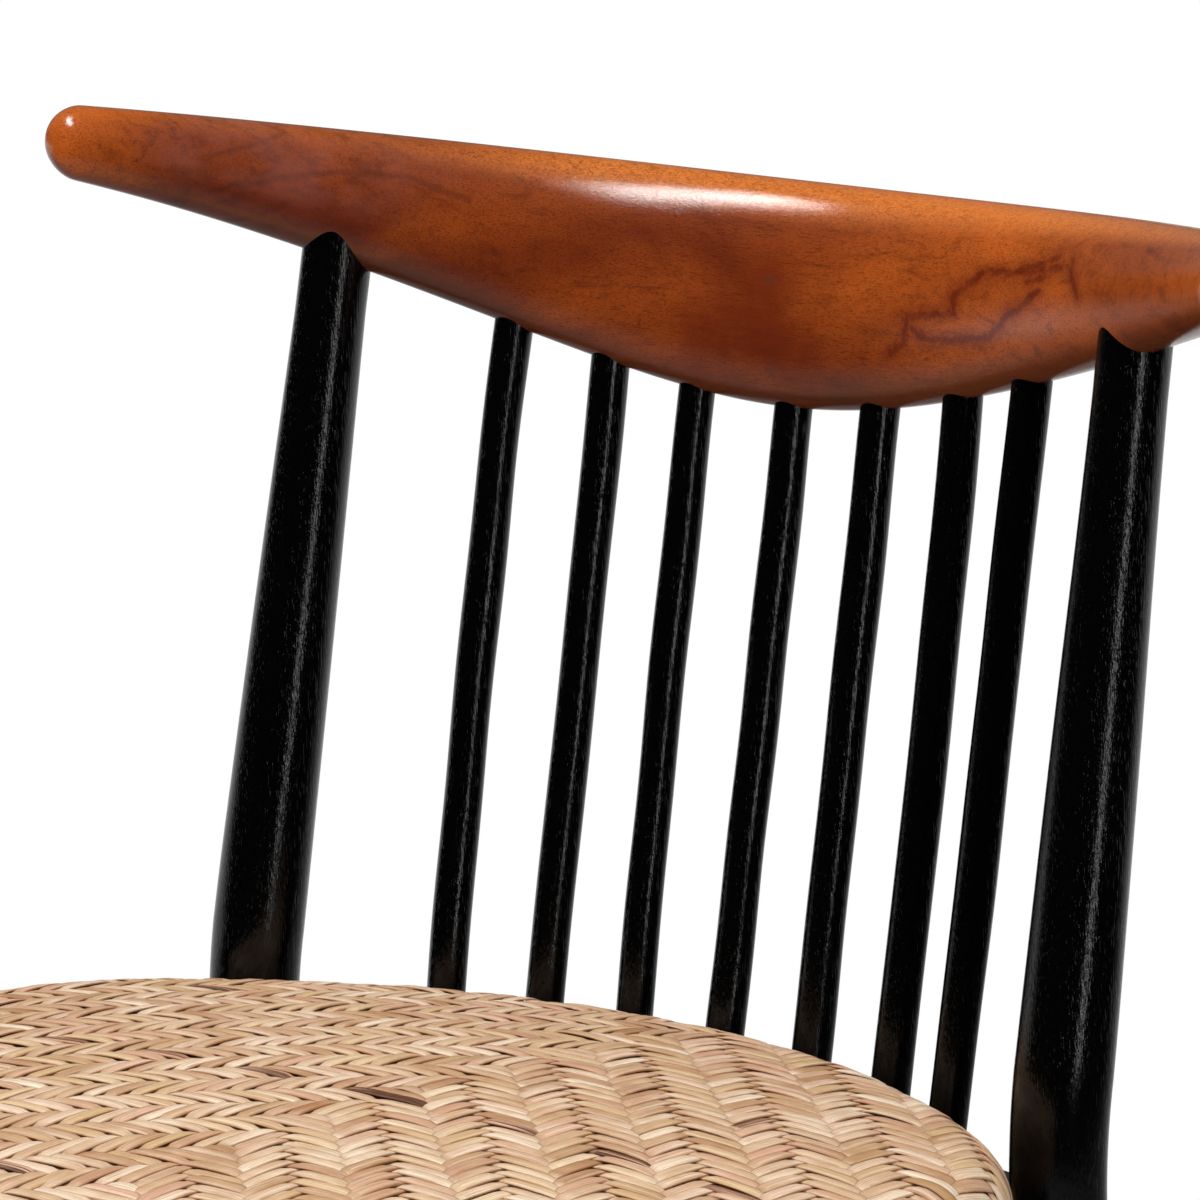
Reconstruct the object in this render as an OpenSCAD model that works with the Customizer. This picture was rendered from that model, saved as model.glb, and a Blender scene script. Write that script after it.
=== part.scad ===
// Dining chair with a bull-horn crest rail, round spindles and a woven rattan seat.
// The chair stands on the floor, faces -Y and rises along +Z. Sizes are in millimetres.
// Left pieces are at -X and right pieces at +X.

/* [Seat frame] */
// Height of the top of the seat rails above the floor
frame_top_h = 405; // [385:1:425]
// Height of each seat rail
rail_h = 50; // [46:1:58]
// Thickness of the front and side seat rails
rail_t = 24; // [20:1:26]
// Thickness of the curved rear seat rail, front to back
rear_rail_t = 42; // [38:1:46]
// How far the rear rail's middle lies in front of the middle spindle
rear_rail_shift = 9; // [6:1:11]
// Distance from the seat's front edge back to a front leg's axis
front_inset = 48; // [45:1:60]
// Distance from the seat's side edge in to a front leg's axis
side_inset = 39; // [37:1:48]

/* [Legs] */
// Diameter of a front leg at the seat
front_leg_d = 35; // [32:1:37]
// Diameter of a front leg at the floor
front_foot_d = 23; // [20:1:28]
// How far a front foot stands outside its leg's top
front_splay_x = 6; // [0:1:14]
// How far a front foot stands in front of its leg's top
front_splay_y = 12; // [0:1:20]
// Diameter of a rear leg at the bend by the seat
rear_leg_d = 35; // [33:1:37]
// Diameter of a rear leg at the floor
rear_foot_d = 25; // [21:1:30]
// Diameter of the outer posts where they enter the crest rail
post_top_d = 26.2; // [23:0.2:27]
// Backward kick of the rear legs under the seat, in degrees
rear_kick = 9; // [6:0.5:11]
// Radius of the bend in the rear leg's axis
bend_r = 220; // [180:5:240]
// Height of the middle of the bend above the top of the seat rails
bend_rise = 16; // [10:1:24]

/* [Back] */
// Backward lean of the posts and spindles, in degrees
rake = 9.8; // [8:0.2:11]
// Height from the top of the seat rails to the crest rail's underside, in the middle
back_rise = 263; // [240:1:280]
// Plan radius of the curved back
back_r = 343; // [335:1:370]
// Distance from the chair's middle to an outer post, at the crest rail
post_x = 187; // [182:1:190]
// Outward lean of the outer posts and rear legs, in degrees
leg_spread = 0.9; // [0.5:0.1:1.3]
// Diameter of a spindle
spindle_d = 14.7; // [12:0.1:16]
// Distance between spindles at the crest rail, along the curve of the back
spindle_pitch_top = 42.3; // [37:0.1:43]
// Distance between spindles at the rear seat rail, along the curve of the back
spindle_pitch_foot = 41.6; // [36:0.1:43]

/* [Crest rail] */
// Distance from the chair's middle to a horn's tip
horn_x = 273; // [262:0.5:286]
// How far a horn's tip stands outside the plan curve of the back
horn_flare = 6.3; // [0:0.1:10]
// Height of the crest rail in the middle
crest_h = 84.2; // [76:0.2:90]
// Thickness of the crest rail in the middle
crest_t = 37; // [35:1:42]
// Thickness of the crest rail near a horn's tip
horn_t = 26; // [24:1:30]
// Rise of the top edge from the middle to a horn's tip
top_rise = 16.7; // [12:0.1:22]
// Slope that the underside tends to, out along a horn
horn_slope = 0.395; // [0.38:0.005:0.42]
// Half width of the round belly under the middle
belly_w = 105; // [95:1:120]
// Drop of the hand-shaped top edge from left to right, for each unit of width
top_skew = 0.022; // [0:0.0005:0.03]
// Depth of a post's socket in the crest rail
post_socket = 24; // [18:1:28]
// Depth of a spindle's socket in the crest rail
spindle_socket = 22; // [16:1:28]
// Depth of a spindle's socket in the rear seat rail
foot_socket = 28; // [20:1:34]

/* [Seat] */
// Gap from the middle spindle's axis to the seat's rear edge, at the rail top
seat_gap = 21.4; // [18:0.2:26]
// Depth of the seat, front to back
seat_depth = 445; // [425:1:455]
// Half of the seat's width
seat_half_w = 242; // [234:1:252]
// Plan radius of the seat's rear edge
seat_rear_r = 310; // [295:1:330]
// Plan radius of the seat's front edge
seat_front_r = 700; // [600:10:900]
// Plan radius of the seat's side edges
seat_side_r = 900; // [700:10:1200]
// Plan radius of the seat's rear corners
rear_corner_r = 115; // [108:1:125]
// Plan radius of the seat's front corners
front_corner_r = 82; // [70:1:95]
// Thickness of the seat at its edge
seat_edge_t = 42; // [38:1:45]
// Height of the seat's crown above its edge
seat_crown = 13; // [8:1:18]
// Thickness of the woven cover
cover_t = 2.4; // [1.8:0.2:3]
// Width of the cover's hem under the seat board
hem_w = 50; // [46:1:52]
// Thickness of the plywood seat board
board_t = 12; // [9:1:14]

/* [Stretchers] */
// Height of the stretchers above the floor
stretcher_h = 160; // [130:5:200]
// Diameter of a side stretcher in its middle
stretcher_mid_d = 22; // [20:1:26]
// Diameter of a side stretcher at its ends
stretcher_end_d = 14; // [12:1:15]
// Diameter of the cross stretcher in its middle
cross_mid_d = 20; // [17:1:24]
// Diameter of the cross stretcher at its ends
cross_end_d = 12; // [10:1:13]

/* [Joinery] */
// Diameter of a rail dowel
dowel_d = 8; // [6:1:8]
// Depth of a dowel in a rail
dowel_in_rail = 18; // [14:1:24]
// Side of a front corner block, along each rail
block_side = 62; // [56:1:70]
// Side of a rear corner block, along each rail, which reaches under the rounded seat corner
rear_block_side = 108; // [104:1:112]
// Height of a corner block
block_h = 32; // [28:1:36]
// Diameter of the screws
screw_d = 4; // [3.5:0.1:5]
// Diameter of the screw heads
screw_head_d = 8; // [7:0.5:9]
// Length of screw that bites into a rail
screw_bite = 16; // [12:1:18]
// Length of seat screw that bites into the seat board
board_bite = 8; // [5:1:8]
// Thickness of a foot glide
glide_t = 4; // [3:0.5:6]
// Diameter of a foot glide's nail
nail_d = 2.4; // [2:0.2:3]
// Length of a foot glide's nail
nail_l = 14; // [10:1:18]
// Clearance all round a glued round joint
joint_clear = 0.15; // [0.1:0.05:0.3]
// Clearance between a rail's end and the round leg that it meets
cope_clear = 0.4; // [0.3:0.1:0.6]
// Clearance between a seat part and its neighbour
seat_clear = 0.2; // [0.1:0.1:0.3]

/* [Hidden] */
$fn = 48;

// Colours
stain = [0.62, 0.27, 0.1];
black = [0.07, 0.07, 0.07];
straw = [0.84, 0.7, 0.52];
foam = [0.93, 0.9, 0.8];
raw_wood = [0.8, 0.66, 0.46];
steel = [0.7, 0.7, 0.72];
glide_grey = [0.2, 0.2, 0.2];

middle_spindle = 4;
sides = [-1, 1];
cut_past = 20;       // length that a cutter runs past what it cuts
crest_z = frame_top_h + back_rise;
rail_bottom = frame_top_h - rail_h;
rail_mid = frame_top_h - rail_h / 2;

// Plan curve of the back, and its lean at a height
function bow_y(x, r) = sqrt(r * r - x * x) - r;
function lean_y(z) = (z - frame_top_h) * tan(rake);
function back_point(x, z) = [x, bow_y(x, back_r) + lean_y(z), z];
function flip(p, side) = [side * p.x, p.y, p.z];
function unit(v) = v / norm(v);
function mix(a, b, t) = a + (b - a) * t;
function signed_pow(v, e) = sign(v) * pow(abs(v), e);

// Puts what is drawn along +Z onto the line from p to q
module along(p, q) {
    d = q - p;
    translate(p)
        rotate(acos(d.z / norm(d)), cross([0, 0, 1], d))
            children();
}

module rod(p, q, r1, r2) {
    along(p, q)
        cylinder(h = norm(q - p), r1 = r1, r2 = r2);
}

// Crest rail: heights of its top edge and underside above crest_z
function crest_top(x) = crest_h + top_rise * pow(x / horn_x, 2) - top_skew * x;
function smooth(t) = let (u = max(0, min(1, t))) u * u * (3 - 2 * u);
function horn_share(x) = smooth(abs(x) / horn_x);
function crest_low(x) = horn_slope * (sqrt(x * x + belly_w * belly_w) - belly_w)
    - top_skew * x * horn_share(x);
// How far the crest rail stands outside the back's plan curve, beyond the posts
function flare(x) = horn_flare * pow(max(0, (abs(x) - post_x) / (horn_x - post_x)), 2);
function crest_thick(x) = mix(crest_t, horn_t, pow(abs(x) / horn_x, 1.5));

crest_steps = 36;
ring_points = 36;
section_power = 2.2;
horn_angle = asin(horn_x / back_r);
cap_angle = horn_t / 2 / back_r * 180 / PI;
cap_turns = [20, 40, 58, 74, 86];
// Each station is its angle along the back's plan curve and the share of the full section there
cap_stations = [for (a = cap_turns) [horn_angle - cap_angle * (1 - sin(a)), cos(a)]];
body_stations = [for (i = [0:crest_steps])
    [mix(-1, 1, i / crest_steps) * (horn_angle - cap_angle), 1]];
crest_stations = concat(
    [for (i = [len(cap_stations) - 1:-1:0]) [-cap_stations[i][0], cap_stations[i][1]]],
    body_stations, cap_stations);

function crest_ring(station) = let (
        a = station[0],
        x = back_r * sin(a),
        half_h = (crest_top(x) - crest_low(x)) / 2 * station[1],
        half_t = crest_thick(x) / 2 * station[1],
        mid = (crest_top(x) + crest_low(x)) / 2)
    [for (k = [0:ring_points - 1]) let (
            b = 360 * k / ring_points,
            w = flare(x) + half_t * signed_pow(cos(b), 2 / section_power),
            z = crest_z + mid + half_h * signed_pow(sin(b), 2 / section_power))
        [x + w * sin(a), bow_y(x, back_r) + w * cos(a) + lean_y(z), z]];
crest_rings = [for (s = crest_stations) crest_ring(s)];
crest_back_y = max([for (ring = crest_rings) for (p = ring) p.y]);

// A closed skin over rings with the same number of points each
function skin_faces(rings, n) = concat(
    [[for (k = [0:n - 1]) k]],
    [for (i = [0:rings - 2]) for (k = [0:n - 1])
        [i * n + k, (i + 1) * n + k, (i + 1) * n + (k + 1) % n]],
    [for (i = [0:rings - 2]) for (k = [0:n - 1])
        [i * n + k, (i + 1) * n + (k + 1) % n, i * n + (k + 1) % n]],
    [[for (k = [n - 1:-1:0]) (rings - 1) * n + k]]);

// Spindle axis: its foot in the rear rail and its head in the crest rail
function spindle_x(i, pitch) = back_r * sin((i - middle_spindle) * pitch / back_r * 180 / PI);
function spindle_head(i, extra) = let (x = spindle_x(i, spindle_pitch_top))
    back_point(x, crest_z + crest_low(x) + spindle_socket + extra);
function spindle_foot(i, extra) = back_point(spindle_x(i, spindle_pitch_foot),
    frame_top_h - foot_socket - extra);
function spindle_at(i, z) = let (p = spindle_foot(i, 0), q = spindle_head(i, 0))
    mix(p, q, (z - p.z) / (q.z - p.z));

// Rear leg: a local plane through the post's axis, leaning outwards by leg_spread
post_z = crest_z + crest_low(-post_x);
post_origin = back_point(post_x, post_z);
function leg_plane(y, z) = post_origin + [-z * sin(leg_spread), y, z * cos(leg_spread)];
bend_z = (frame_top_h + bend_rise - post_z) / cos(leg_spread);
bend_y = bend_z * tan(rake);
bend_tangent = bend_r * tan((rake + rear_kick) / 2);
// Point on the rear leg's lower axis at a height above the floor
function rear_axis(z) = let (zl = (z - post_z) / cos(leg_spread))
    leg_plane(bend_y + (bend_z - zl) * tan(rear_kick), zl);
rear_leg_r = rear_leg_d / 2;
rear_foot_r = rear_foot_d / 2;

// Front leg axis and radius at a height
rear_rail_leg = rear_axis(rail_mid);
seat_back_y = -seat_gap;
seat_front_y = seat_back_y - seat_depth;
front_leg_x = seat_half_w - side_inset;
front_leg_y = seat_front_y + front_inset;
function front_axis(z) = let (t = (frame_top_h - z) / frame_top_h)
    [front_leg_x + front_splay_x * t, front_leg_y - front_splay_y * t, z];
front_leg_r = front_leg_d / 2;
front_foot_r = front_foot_d / 2;
function front_r(z) = mix(front_foot_r, front_leg_r, (z - glide_t) / (frame_top_h - glide_t));
leg_top_gap = 1;     // front leg's top below the rail top, so that its tilted end stays clear

// Rear rail: an arc whose middle lies in front of the middle spindle and whose ends meet the legs
rear_sag = -rear_rail_shift - rear_rail_leg.y;
rear_rail_r = (pow(rear_rail_leg.x, 2) + pow(rear_sag, 2)) / (2 * rear_sag);
rear_rail_centre = [0, -rear_rail_shift - rear_rail_r];
rear_rail_end = rear_rail_leg.x - rail_t / 2 - 2 * cope_clear;
rear_end_angle = asin(rear_rail_leg.x / rear_rail_r);

rear_turn = 3;       // degrees between the rear rail's end and the chord that its dowels follow
// Unit directions along the rails, on the right side, from a leg towards the middle of a rail
side_dir = unit([rear_rail_leg.x - front_leg_x, rear_rail_leg.y - front_leg_y, 0]);
front_dir = [-1, 0, 0];
rear_dir = [-cos(rear_end_angle - rear_turn), sin(rear_end_angle - rear_turn), 0];

// Round joints between rails and legs: two dowels at each rail end, side rails one step lower
dowel_cover = 4.5;   // rail wood above and below the dowels
dowel_margin = dowel_d / 2 + dowel_cover;
dowel_step = (rail_h - 2 * dowel_margin) / 3;
dowel_past_axis = 3;
side_levels = [0, 2];
cross_levels = [1, 3];
function dowel_z(level) = rail_bottom + dowel_margin + level * dowel_step;
// Each dowel is its point on the leg's axis, its direction and the leg's radius
function dowels_at(rear, dir, levels) = [for (l = levels)
    [rear ? rear_axis(dowel_z(l)) : front_axis(dowel_z(l)), dir,
        rear ? rear_leg_r : front_r(dowel_z(l))]];
side_dowels_front = dowels_at(false, side_dir, side_levels);
side_dowels_rear = dowels_at(true, -side_dir, side_levels);
front_dowels = dowels_at(false, front_dir, cross_levels);
rear_dowels = dowels_at(true, rear_dir, cross_levels);

module dowel_set(list, side, extra) {
    for (d = list)
        rod(flip(d[0] + d[1] * (dowel_past_axis - extra), side),
            flip(d[0] + d[1] * (d[2] + dowel_in_rail + extra), side),
            dowel_d / 2 + extra, dowel_d / 2 + extra);
}

// Corner blocks: the inner corner of two rails, on the right side
block_gap = seat_clear;
function rail_angle(a, b) = acos(a * b);
function inner_corner(p, a, b, half_a, half_b) = let (s = sin(rail_angle(a, b)))
    [p.x, p.y, 0] + a * ((half_b + block_gap) / s) + b * ((half_a + block_gap) / s);
front_corner = inner_corner(front_axis(rail_mid), side_dir, front_dir, rail_t / 2, rail_t / 2);
rear_corner = inner_corner(rear_rail_leg, -side_dir, rear_dir, rail_t / 2, rear_rail_t / 2);
block_top = frame_top_h - seat_clear;
block_bottom = block_top - block_h;
screw_share = 0.6;   // place of a screw along its side of the block
rear_rail_share = 0.34;    // the same along the rear rail, clear of the spindles' sockets
screw_depth = 15;    // block wood under a screw's head
head_h = 3;
screw_low_share = 0.3;
screw_levels = [block_bottom + block_h * screw_low_share,
    block_bottom + block_h * (1 - screw_low_share)];
// Each block screw is the point where it enters the rail and the direction that it points in
function face_normal(a, b) = unit(-b + a * (a * b));
function block_screws(k, a, b, along_a, along_b) = [
    [k + a * along_a + [0, 0, screw_levels[0]], face_normal(a, b)],
    [k + b * along_b + [0, 0, screw_levels[1]], face_normal(b, a)]];
front_screws = block_screws(front_corner, side_dir, front_dir,
    block_side * screw_share, block_side * screw_share);
rear_screws = block_screws(rear_corner, -side_dir, rear_dir,
    rear_block_side * screw_share, rear_block_side * rear_rail_share);
front_seat_share = 0.36;
rear_seat_share = 0.43;
front_seat_screw = front_corner + (side_dir + front_dir) * block_side * front_seat_share;
rear_seat_screw = rear_corner + (rear_dir - side_dir) * rear_block_side * rear_seat_share;

module block_screw(s, side, extra, bore_past) {
    rod(flip(s[0] - s[1] * (screw_depth + head_h / 2), side),
        flip(s[0] + s[1] * (screw_bite + extra), side),
        screw_d / 2 + extra, screw_d / 2 + extra);
    rod(flip(s[0] - s[1] * (screw_depth + head_h + bore_past), side),
        flip(s[0] - s[1] * screw_depth, side),
        screw_head_d / 2 + extra, screw_head_d / 2 + extra);
}

module seat_screw(p, side, extra, bore_past) {
    x = side * p.x;
    translate([x, p.y, block_bottom + head_h - extra])
        cylinder(h = board_low + board_bite - block_bottom - head_h + 2 * extra,
            r = screw_d / 2 + extra);
    translate([x, p.y, block_bottom - bore_past])
        cylinder(h = head_h + bore_past, r = screw_head_d / 2 + extra);
}

// Seat outline: big arcs for the edges, joined by corner arcs, inset by d
seat_mid_y = (seat_back_y + seat_front_y) / 2;
rear_centre = [0, seat_back_y - seat_rear_r];
front_centre = [0, seat_front_y + seat_front_r];
side_centre = [seat_half_w - seat_side_r, seat_mid_y];
// Where two circles meet, on the side of the line between their centres that turn chooses
function circles_meet(c1, r1, c2, r2, turn) = let (
        v = c2 - c1,
        d = norm(v),
        s = (r1 * r1 - r2 * r2 + d * d) / (2 * d),
        h = sqrt(r1 * r1 - s * s))
    c1 + v / d * s + [v.y, -v.x] / d * h * turn;
rear_knuckle = circles_meet(rear_centre, seat_rear_r - rear_corner_r,
    side_centre, seat_side_r - rear_corner_r, 1);
front_knuckle = circles_meet(front_centre, seat_front_r - front_corner_r,
    side_centre, seat_side_r - front_corner_r, -1);
function bearing(from, to) = atan2(to.y - from.y, to.x - from.x);
rear_side_a = bearing(side_centre, rear_knuckle);
rear_back_a = bearing(rear_centre, rear_knuckle);
front_side_a = bearing(side_centre, front_knuckle);
front_front_a = bearing(front_centre, front_knuckle);
edge_steps = 8;
side_steps = 4;
corner_steps = 6;
function mirror_x(c) = [-c.x, c.y];
function arc(c, r, a0, a1, n) = [for (i = [0:n - 1]) let (a = mix(a0, a1, i / n))
    c + r * [cos(a), sin(a)]];
function seat_outline(d) = concat(
    arc(side_centre, seat_side_r - d, front_side_a, rear_side_a, side_steps),
    arc(rear_knuckle, rear_corner_r - d, rear_side_a, rear_back_a, corner_steps),
    arc(rear_centre, seat_rear_r - d, rear_back_a, 180 - rear_back_a, edge_steps),
    arc(mirror_x(rear_knuckle), rear_corner_r - d, 180 - rear_back_a, 180 - rear_side_a,
        corner_steps),
    arc(mirror_x(side_centre), seat_side_r - d, 180 - rear_side_a, 180 - front_side_a, side_steps),
    arc(mirror_x(front_knuckle), front_corner_r - d, 180 - front_side_a, 180 - front_front_a,
        corner_steps),
    arc(front_centre, seat_front_r - d, -180 - front_front_a, front_front_a, edge_steps),
    arc(front_knuckle, front_corner_r - d, front_front_a, front_side_a, corner_steps));
outline_points = 2 * side_steps + 4 * corner_steps + 2 * edge_steps;

// Seat form: a round edge, then a crown over the middle, all inset by t
edge_r = seat_edge_t / 2;
edge_z = frame_top_h + edge_r;
crown_turn = 84;     // angle on the round edge where the crown begins
function edge_ring(t, a) = let (d = edge_r - (edge_r - t) * cos(a))
    [for (p = seat_outline(d)) [p.x, p.y, edge_z + (edge_r - t) * sin(a)]];
function crown_ring(t, k) = let (
        d = edge_r - (edge_r - t) * cos(crown_turn),
        z = edge_z + (edge_r - t) * sin(crown_turn))
    [for (p = seat_outline(d)) [p.x * k, mix(seat_mid_y, p.y, k), z + seat_crown * (1 - k * k)]];
function flat_ring(d, z) = [for (p = seat_outline(d)) [p.x, p.y, z]];
// From the crown down to the underside, and back up again on the inside
function form_down(t, shares, turns) = concat(
    [for (k = shares) crown_ring(t, k)], [for (a = turns) edge_ring(t, a)]);
function form_up(t, turns, shares) = concat(
    [for (a = turns) edge_ring(t, a)], [for (k = shares) crown_ring(t, k)]);
outer_shares = [0.02, 0.25, 0.5, 0.75, 0.9, 1];
outer_turns = [66, 45, 22, 0, -22, -45, -68, -90];
inner_turns = [-90, -55, -20, 20, 55];
inner_shares = [1, 0.85, 0.6, 0.3, 0.02];
padding_shares = [0.02, 0.3, 0.6, 0.85, 1];
padding_turns = [55, 20, -20];

module skin(rings) {
    polyhedron(points = [for (ring = rings) for (p = ring) p],
        faces = skin_faces(len(rings), outline_points), convexity = 4);
}

padding_inset = cover_t + seat_clear;
board_low = frame_top_h + cover_t + seat_clear;
board_edge_gap = 1;  // board edge inside the line where the round edge meets the underside
board_inset = edge_r + board_edge_gap;
padding_lift = 2;    // padding's lower edge above the board's underside
padding_low = board_low + padding_lift;
padding_low_turn = asin((padding_low - edge_z) / (edge_r - padding_inset));

module board_slab() {
    translate([0, 0, board_low])
        linear_extrude(height = board_t)
            polygon(seat_outline(board_inset));
}

// Stretcher ends, on the leg axes, and the shape of a swelling round bar
function stretcher_front() = front_axis(stretcher_h);
function stretcher_rear() = rear_axis(stretcher_h);
stretcher_past_axis = 2;
stretcher_mid = (stretcher_front() + stretcher_rear()) / 2;
straight_end = 30;
swell_steps = 10;

module swelling_bar(p, q, end_r, mid_r) {
    l = norm(q - p);
    along(p, q)
        rotate_extrude()
            polygon(concat([[0, 0], [end_r, 0]],
                [for (i = [0:swell_steps]) let (t = i / swell_steps)
                    [mix(end_r, mid_r, 1 - pow(2 * t - 1, 2)), mix(straight_end, l - straight_end, t)]],
                [[end_r, l], [0, l]]));
}

function stretcher_from(side) =
    let (d = unit(stretcher_rear() - stretcher_front()))
    flip(stretcher_front() + d * stretcher_past_axis, side);
function stretcher_to(side) =
    let (d = unit(stretcher_rear() - stretcher_front()))
    flip(stretcher_rear() - d * stretcher_past_axis, side);
cross_past_axis = 3;
cross_x = stretcher_mid.x - cross_past_axis;

// Places every piece so that the chair's box is centred over the origin
mid_y = (seat_front_y + crest_back_y) / 2;

module place() {
    translate([0, -mid_y, 0])
        children();
}

module crest_rail() color(stain) place()
    difference() {
        polyhedron(points = [for (ring = crest_rings) for (p = ring) p],
            faces = skin_faces(len(crest_rings), ring_points), convexity = 6);
        for (side = sides)
            post_bore(side);
        for (i = [1:7])
            rod(spindle_foot(i, 0), spindle_head(i, joint_clear),
                spindle_d / 2 + joint_clear, spindle_d / 2 + joint_clear);
    }

// The straight top end of an outer post, which the crest rail's socket follows
function post_end(side, z) = flip(leg_plane(z * tan(rake), z), side);

module post_bore(side) {
    rod(post_end(side, -cut_past), post_end(side, post_socket + joint_clear),
        post_top_d / 2 + joint_clear, post_top_d / 2 + joint_clear);
}

// Rear leg stations, from the post's head down: place in the leg's plane, lean and radius
bend_steps = 7;
leg_points = 32;
bend_top = [bend_y, bend_z] + bend_tangent * [sin(rake), cos(rake)];
bend_centre = bend_top + bend_r * [cos(rake), -sin(rake)];
leg_stations = concat(
    [[post_socket * tan(rake), post_socket, rake, post_top_d / 2],
        [-cut_past * tan(rake), -cut_past, rake, post_top_d / 2]],
    [for (i = [0:bend_steps]) let (a = mix(rake, -rear_kick, i / bend_steps),
            c = bend_centre - bend_r * [cos(a), -sin(a)])
        [c[0], c[1], a, rear_leg_r]]);
function leg_ring(s) = [for (k = [0:leg_points - 1]) let (
        b = 360 * k / leg_points,
        x = s[3] * cos(b),
        p = leg_plane(s[0] + s[3] * sin(b) * cos(s[2]), s[1] - s[3] * sin(b) * sin(s[2])))
    p + x * [cos(leg_spread), 0, sin(leg_spread)]];
foot_ring = [for (k = [0:leg_points - 1]) let (b = 360 * k / leg_points)
    rear_axis(glide_t) + rear_foot_r * [cos(b), sin(b), 0]];
leg_rings = concat([for (s = leg_stations) leg_ring(s)], [foot_ring]);

module rear_leg_shape() {
    polyhedron(points = [for (ring = leg_rings) for (p = ring) p],
        faces = skin_faces(len(leg_rings), leg_points), convexity = 4);
}

module floor_cut() {
    translate([-2 * front_leg_x, 2 * front_leg_y, glide_t - 2 * cut_past])
        cube([4 * front_leg_x, -2 * front_leg_y, 2 * cut_past]);
}

module rear_leg(side) color(black) place()
    difference() {
        mirror([side < 0 ? 1 : 0, 0, 0])
            rear_leg_shape();
        dowel_set(side_dowels_rear, side, joint_clear);
        dowel_set(rear_dowels, side, joint_clear);
        stretcher_bore(side);
        glide_nail(rear_axis(glide_t), side, joint_clear);
    }

module front_leg(side) color(black) place()
    difference() {
        rod(flip(front_axis(-cut_past), side), flip(front_axis(frame_top_h - leg_top_gap), side),
            front_foot_r, front_leg_r);
        floor_cut();
        dowel_set(side_dowels_front, side, joint_clear);
        dowel_set(front_dowels, side, joint_clear);
        stretcher_bore(side);
        glide_nail(front_axis(glide_t), side, joint_clear);
    }

module stretcher_bore(side) {
    rod(stretcher_from(side), stretcher_to(side),
        stretcher_end_d / 2 + joint_clear, stretcher_end_d / 2 + joint_clear);
}

module glide_nail(p, side, extra) {
    translate([side * p.x, p.y, glide_t - extra])
        cylinder(h = nail_l + 2 * extra, r = nail_d / 2 + extra);
}

module spindle(i) color(black) place()
    rod(spindle_foot(i, 0), spindle_head(i, 0), spindle_d / 2, spindle_d / 2);

// The round hollow that a rail's end is cut to, where it meets a leg
module rear_cope(side) {
    rod(flip(rear_axis(rail_bottom - cut_past), side), flip(rear_axis(frame_top_h + cut_past), side),
        rear_leg_r + cope_clear, rear_leg_r + cope_clear);
}

module front_cope(side) {
    rod(flip(front_axis(rail_bottom - cut_past), side),
        flip(front_axis(frame_top_h + cut_past), side),
        front_leg_r + cope_clear, front_leg_r + cope_clear);
}

module rear_seat_rail() color(black) place()
    difference() {
        translate([0, 0, rail_bottom])
            linear_extrude(height = rail_h)
                intersection() {
                    translate(rear_rail_centre)
                        difference() {
                            circle(r = rear_rail_r + rear_rail_t / 2, $fn = 180);
                            circle(r = rear_rail_r - rear_rail_t / 2, $fn = 180);
                        }
                    translate([-rear_rail_end, -seat_depth / 2])
                        square([2 * rear_rail_end, seat_depth]);
                }
        for (side = sides) {
            rear_cope(side);
            dowel_set(rear_dowels, side, joint_clear);
            block_screw(rear_screws[1], side, joint_clear, 0);
        }
        for (i = [1:7])
            rod(spindle_foot(i, joint_clear), spindle_at(i, frame_top_h + cut_past),
                spindle_d / 2 + joint_clear, spindle_d / 2 + joint_clear);
    }

module front_seat_rail() color(black) place()
    difference() {
        translate([-front_leg_x, front_axis(rail_mid).y - rail_t / 2, rail_bottom])
            cube([2 * front_leg_x, rail_t, rail_h]);
        for (side = sides) {
            front_cope(side);
            dowel_set(front_dowels, side, joint_clear);
            block_screw(front_screws[1], side, joint_clear, 0);
        }
    }

module side_seat_rail(side) color(black) place()
    difference() {
        from = flip(front_axis(rail_mid), side);
        to = flip(rear_rail_leg, side);
        translate([from.x, from.y, rail_bottom])
            rotate([0, 0, atan2(to.y - from.y, to.x - from.x)])
                translate([0, -rail_t / 2, 0])
                    cube([norm(to - from), rail_t, rail_h]);
        rear_cope(side);
        front_cope(side);
        dowel_set(side_dowels_front, side, joint_clear);
        dowel_set(side_dowels_rear, side, joint_clear);
        block_screw(front_screws[0], side, joint_clear, 0);
        block_screw(rear_screws[0], side, joint_clear, 0);
    }

// A triangular prism from the corner k along the directions a and b, with sides of length l
module block_prism(k, a, b, l, side) {
    translate([0, 0, block_bottom])
        linear_extrude(height = block_h)
            polygon([for (p = [k, k + a * l, k + b * l]) [side * p.x, p.y]]);
}

module corner_block_front(side) color(raw_wood) place()
    difference() {
        block_prism(front_corner, side_dir, front_dir, block_side, side);
        front_cope(side);
        for (s = front_screws)
            block_screw(s, side, joint_clear, block_side);
        seat_screw(front_seat_screw, side, joint_clear, 1);
    }

module corner_block_rear(side) color(raw_wood) place()
    difference() {
        intersection() {
            block_prism(rear_corner, -side_dir, rear_dir, rear_block_side, side);
            translate([rear_rail_centre.x, rear_rail_centre.y, block_bottom - 1])
                cylinder(h = block_h + 2, r = rear_rail_r - rear_rail_t / 2 - block_gap, $fn = 180);
        }
        rear_cope(side);
        for (s = rear_screws)
            block_screw(s, side, joint_clear, rear_block_side);
        seat_screw(rear_seat_screw, side, joint_clear, 1);
    }

module seat_board() color(raw_wood) place()
    difference() {
        board_slab();
        for (side = sides) {
            seat_screw(front_seat_screw, side, joint_clear, 1);
            seat_screw(rear_seat_screw, side, joint_clear, 1);
        }
    }

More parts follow.
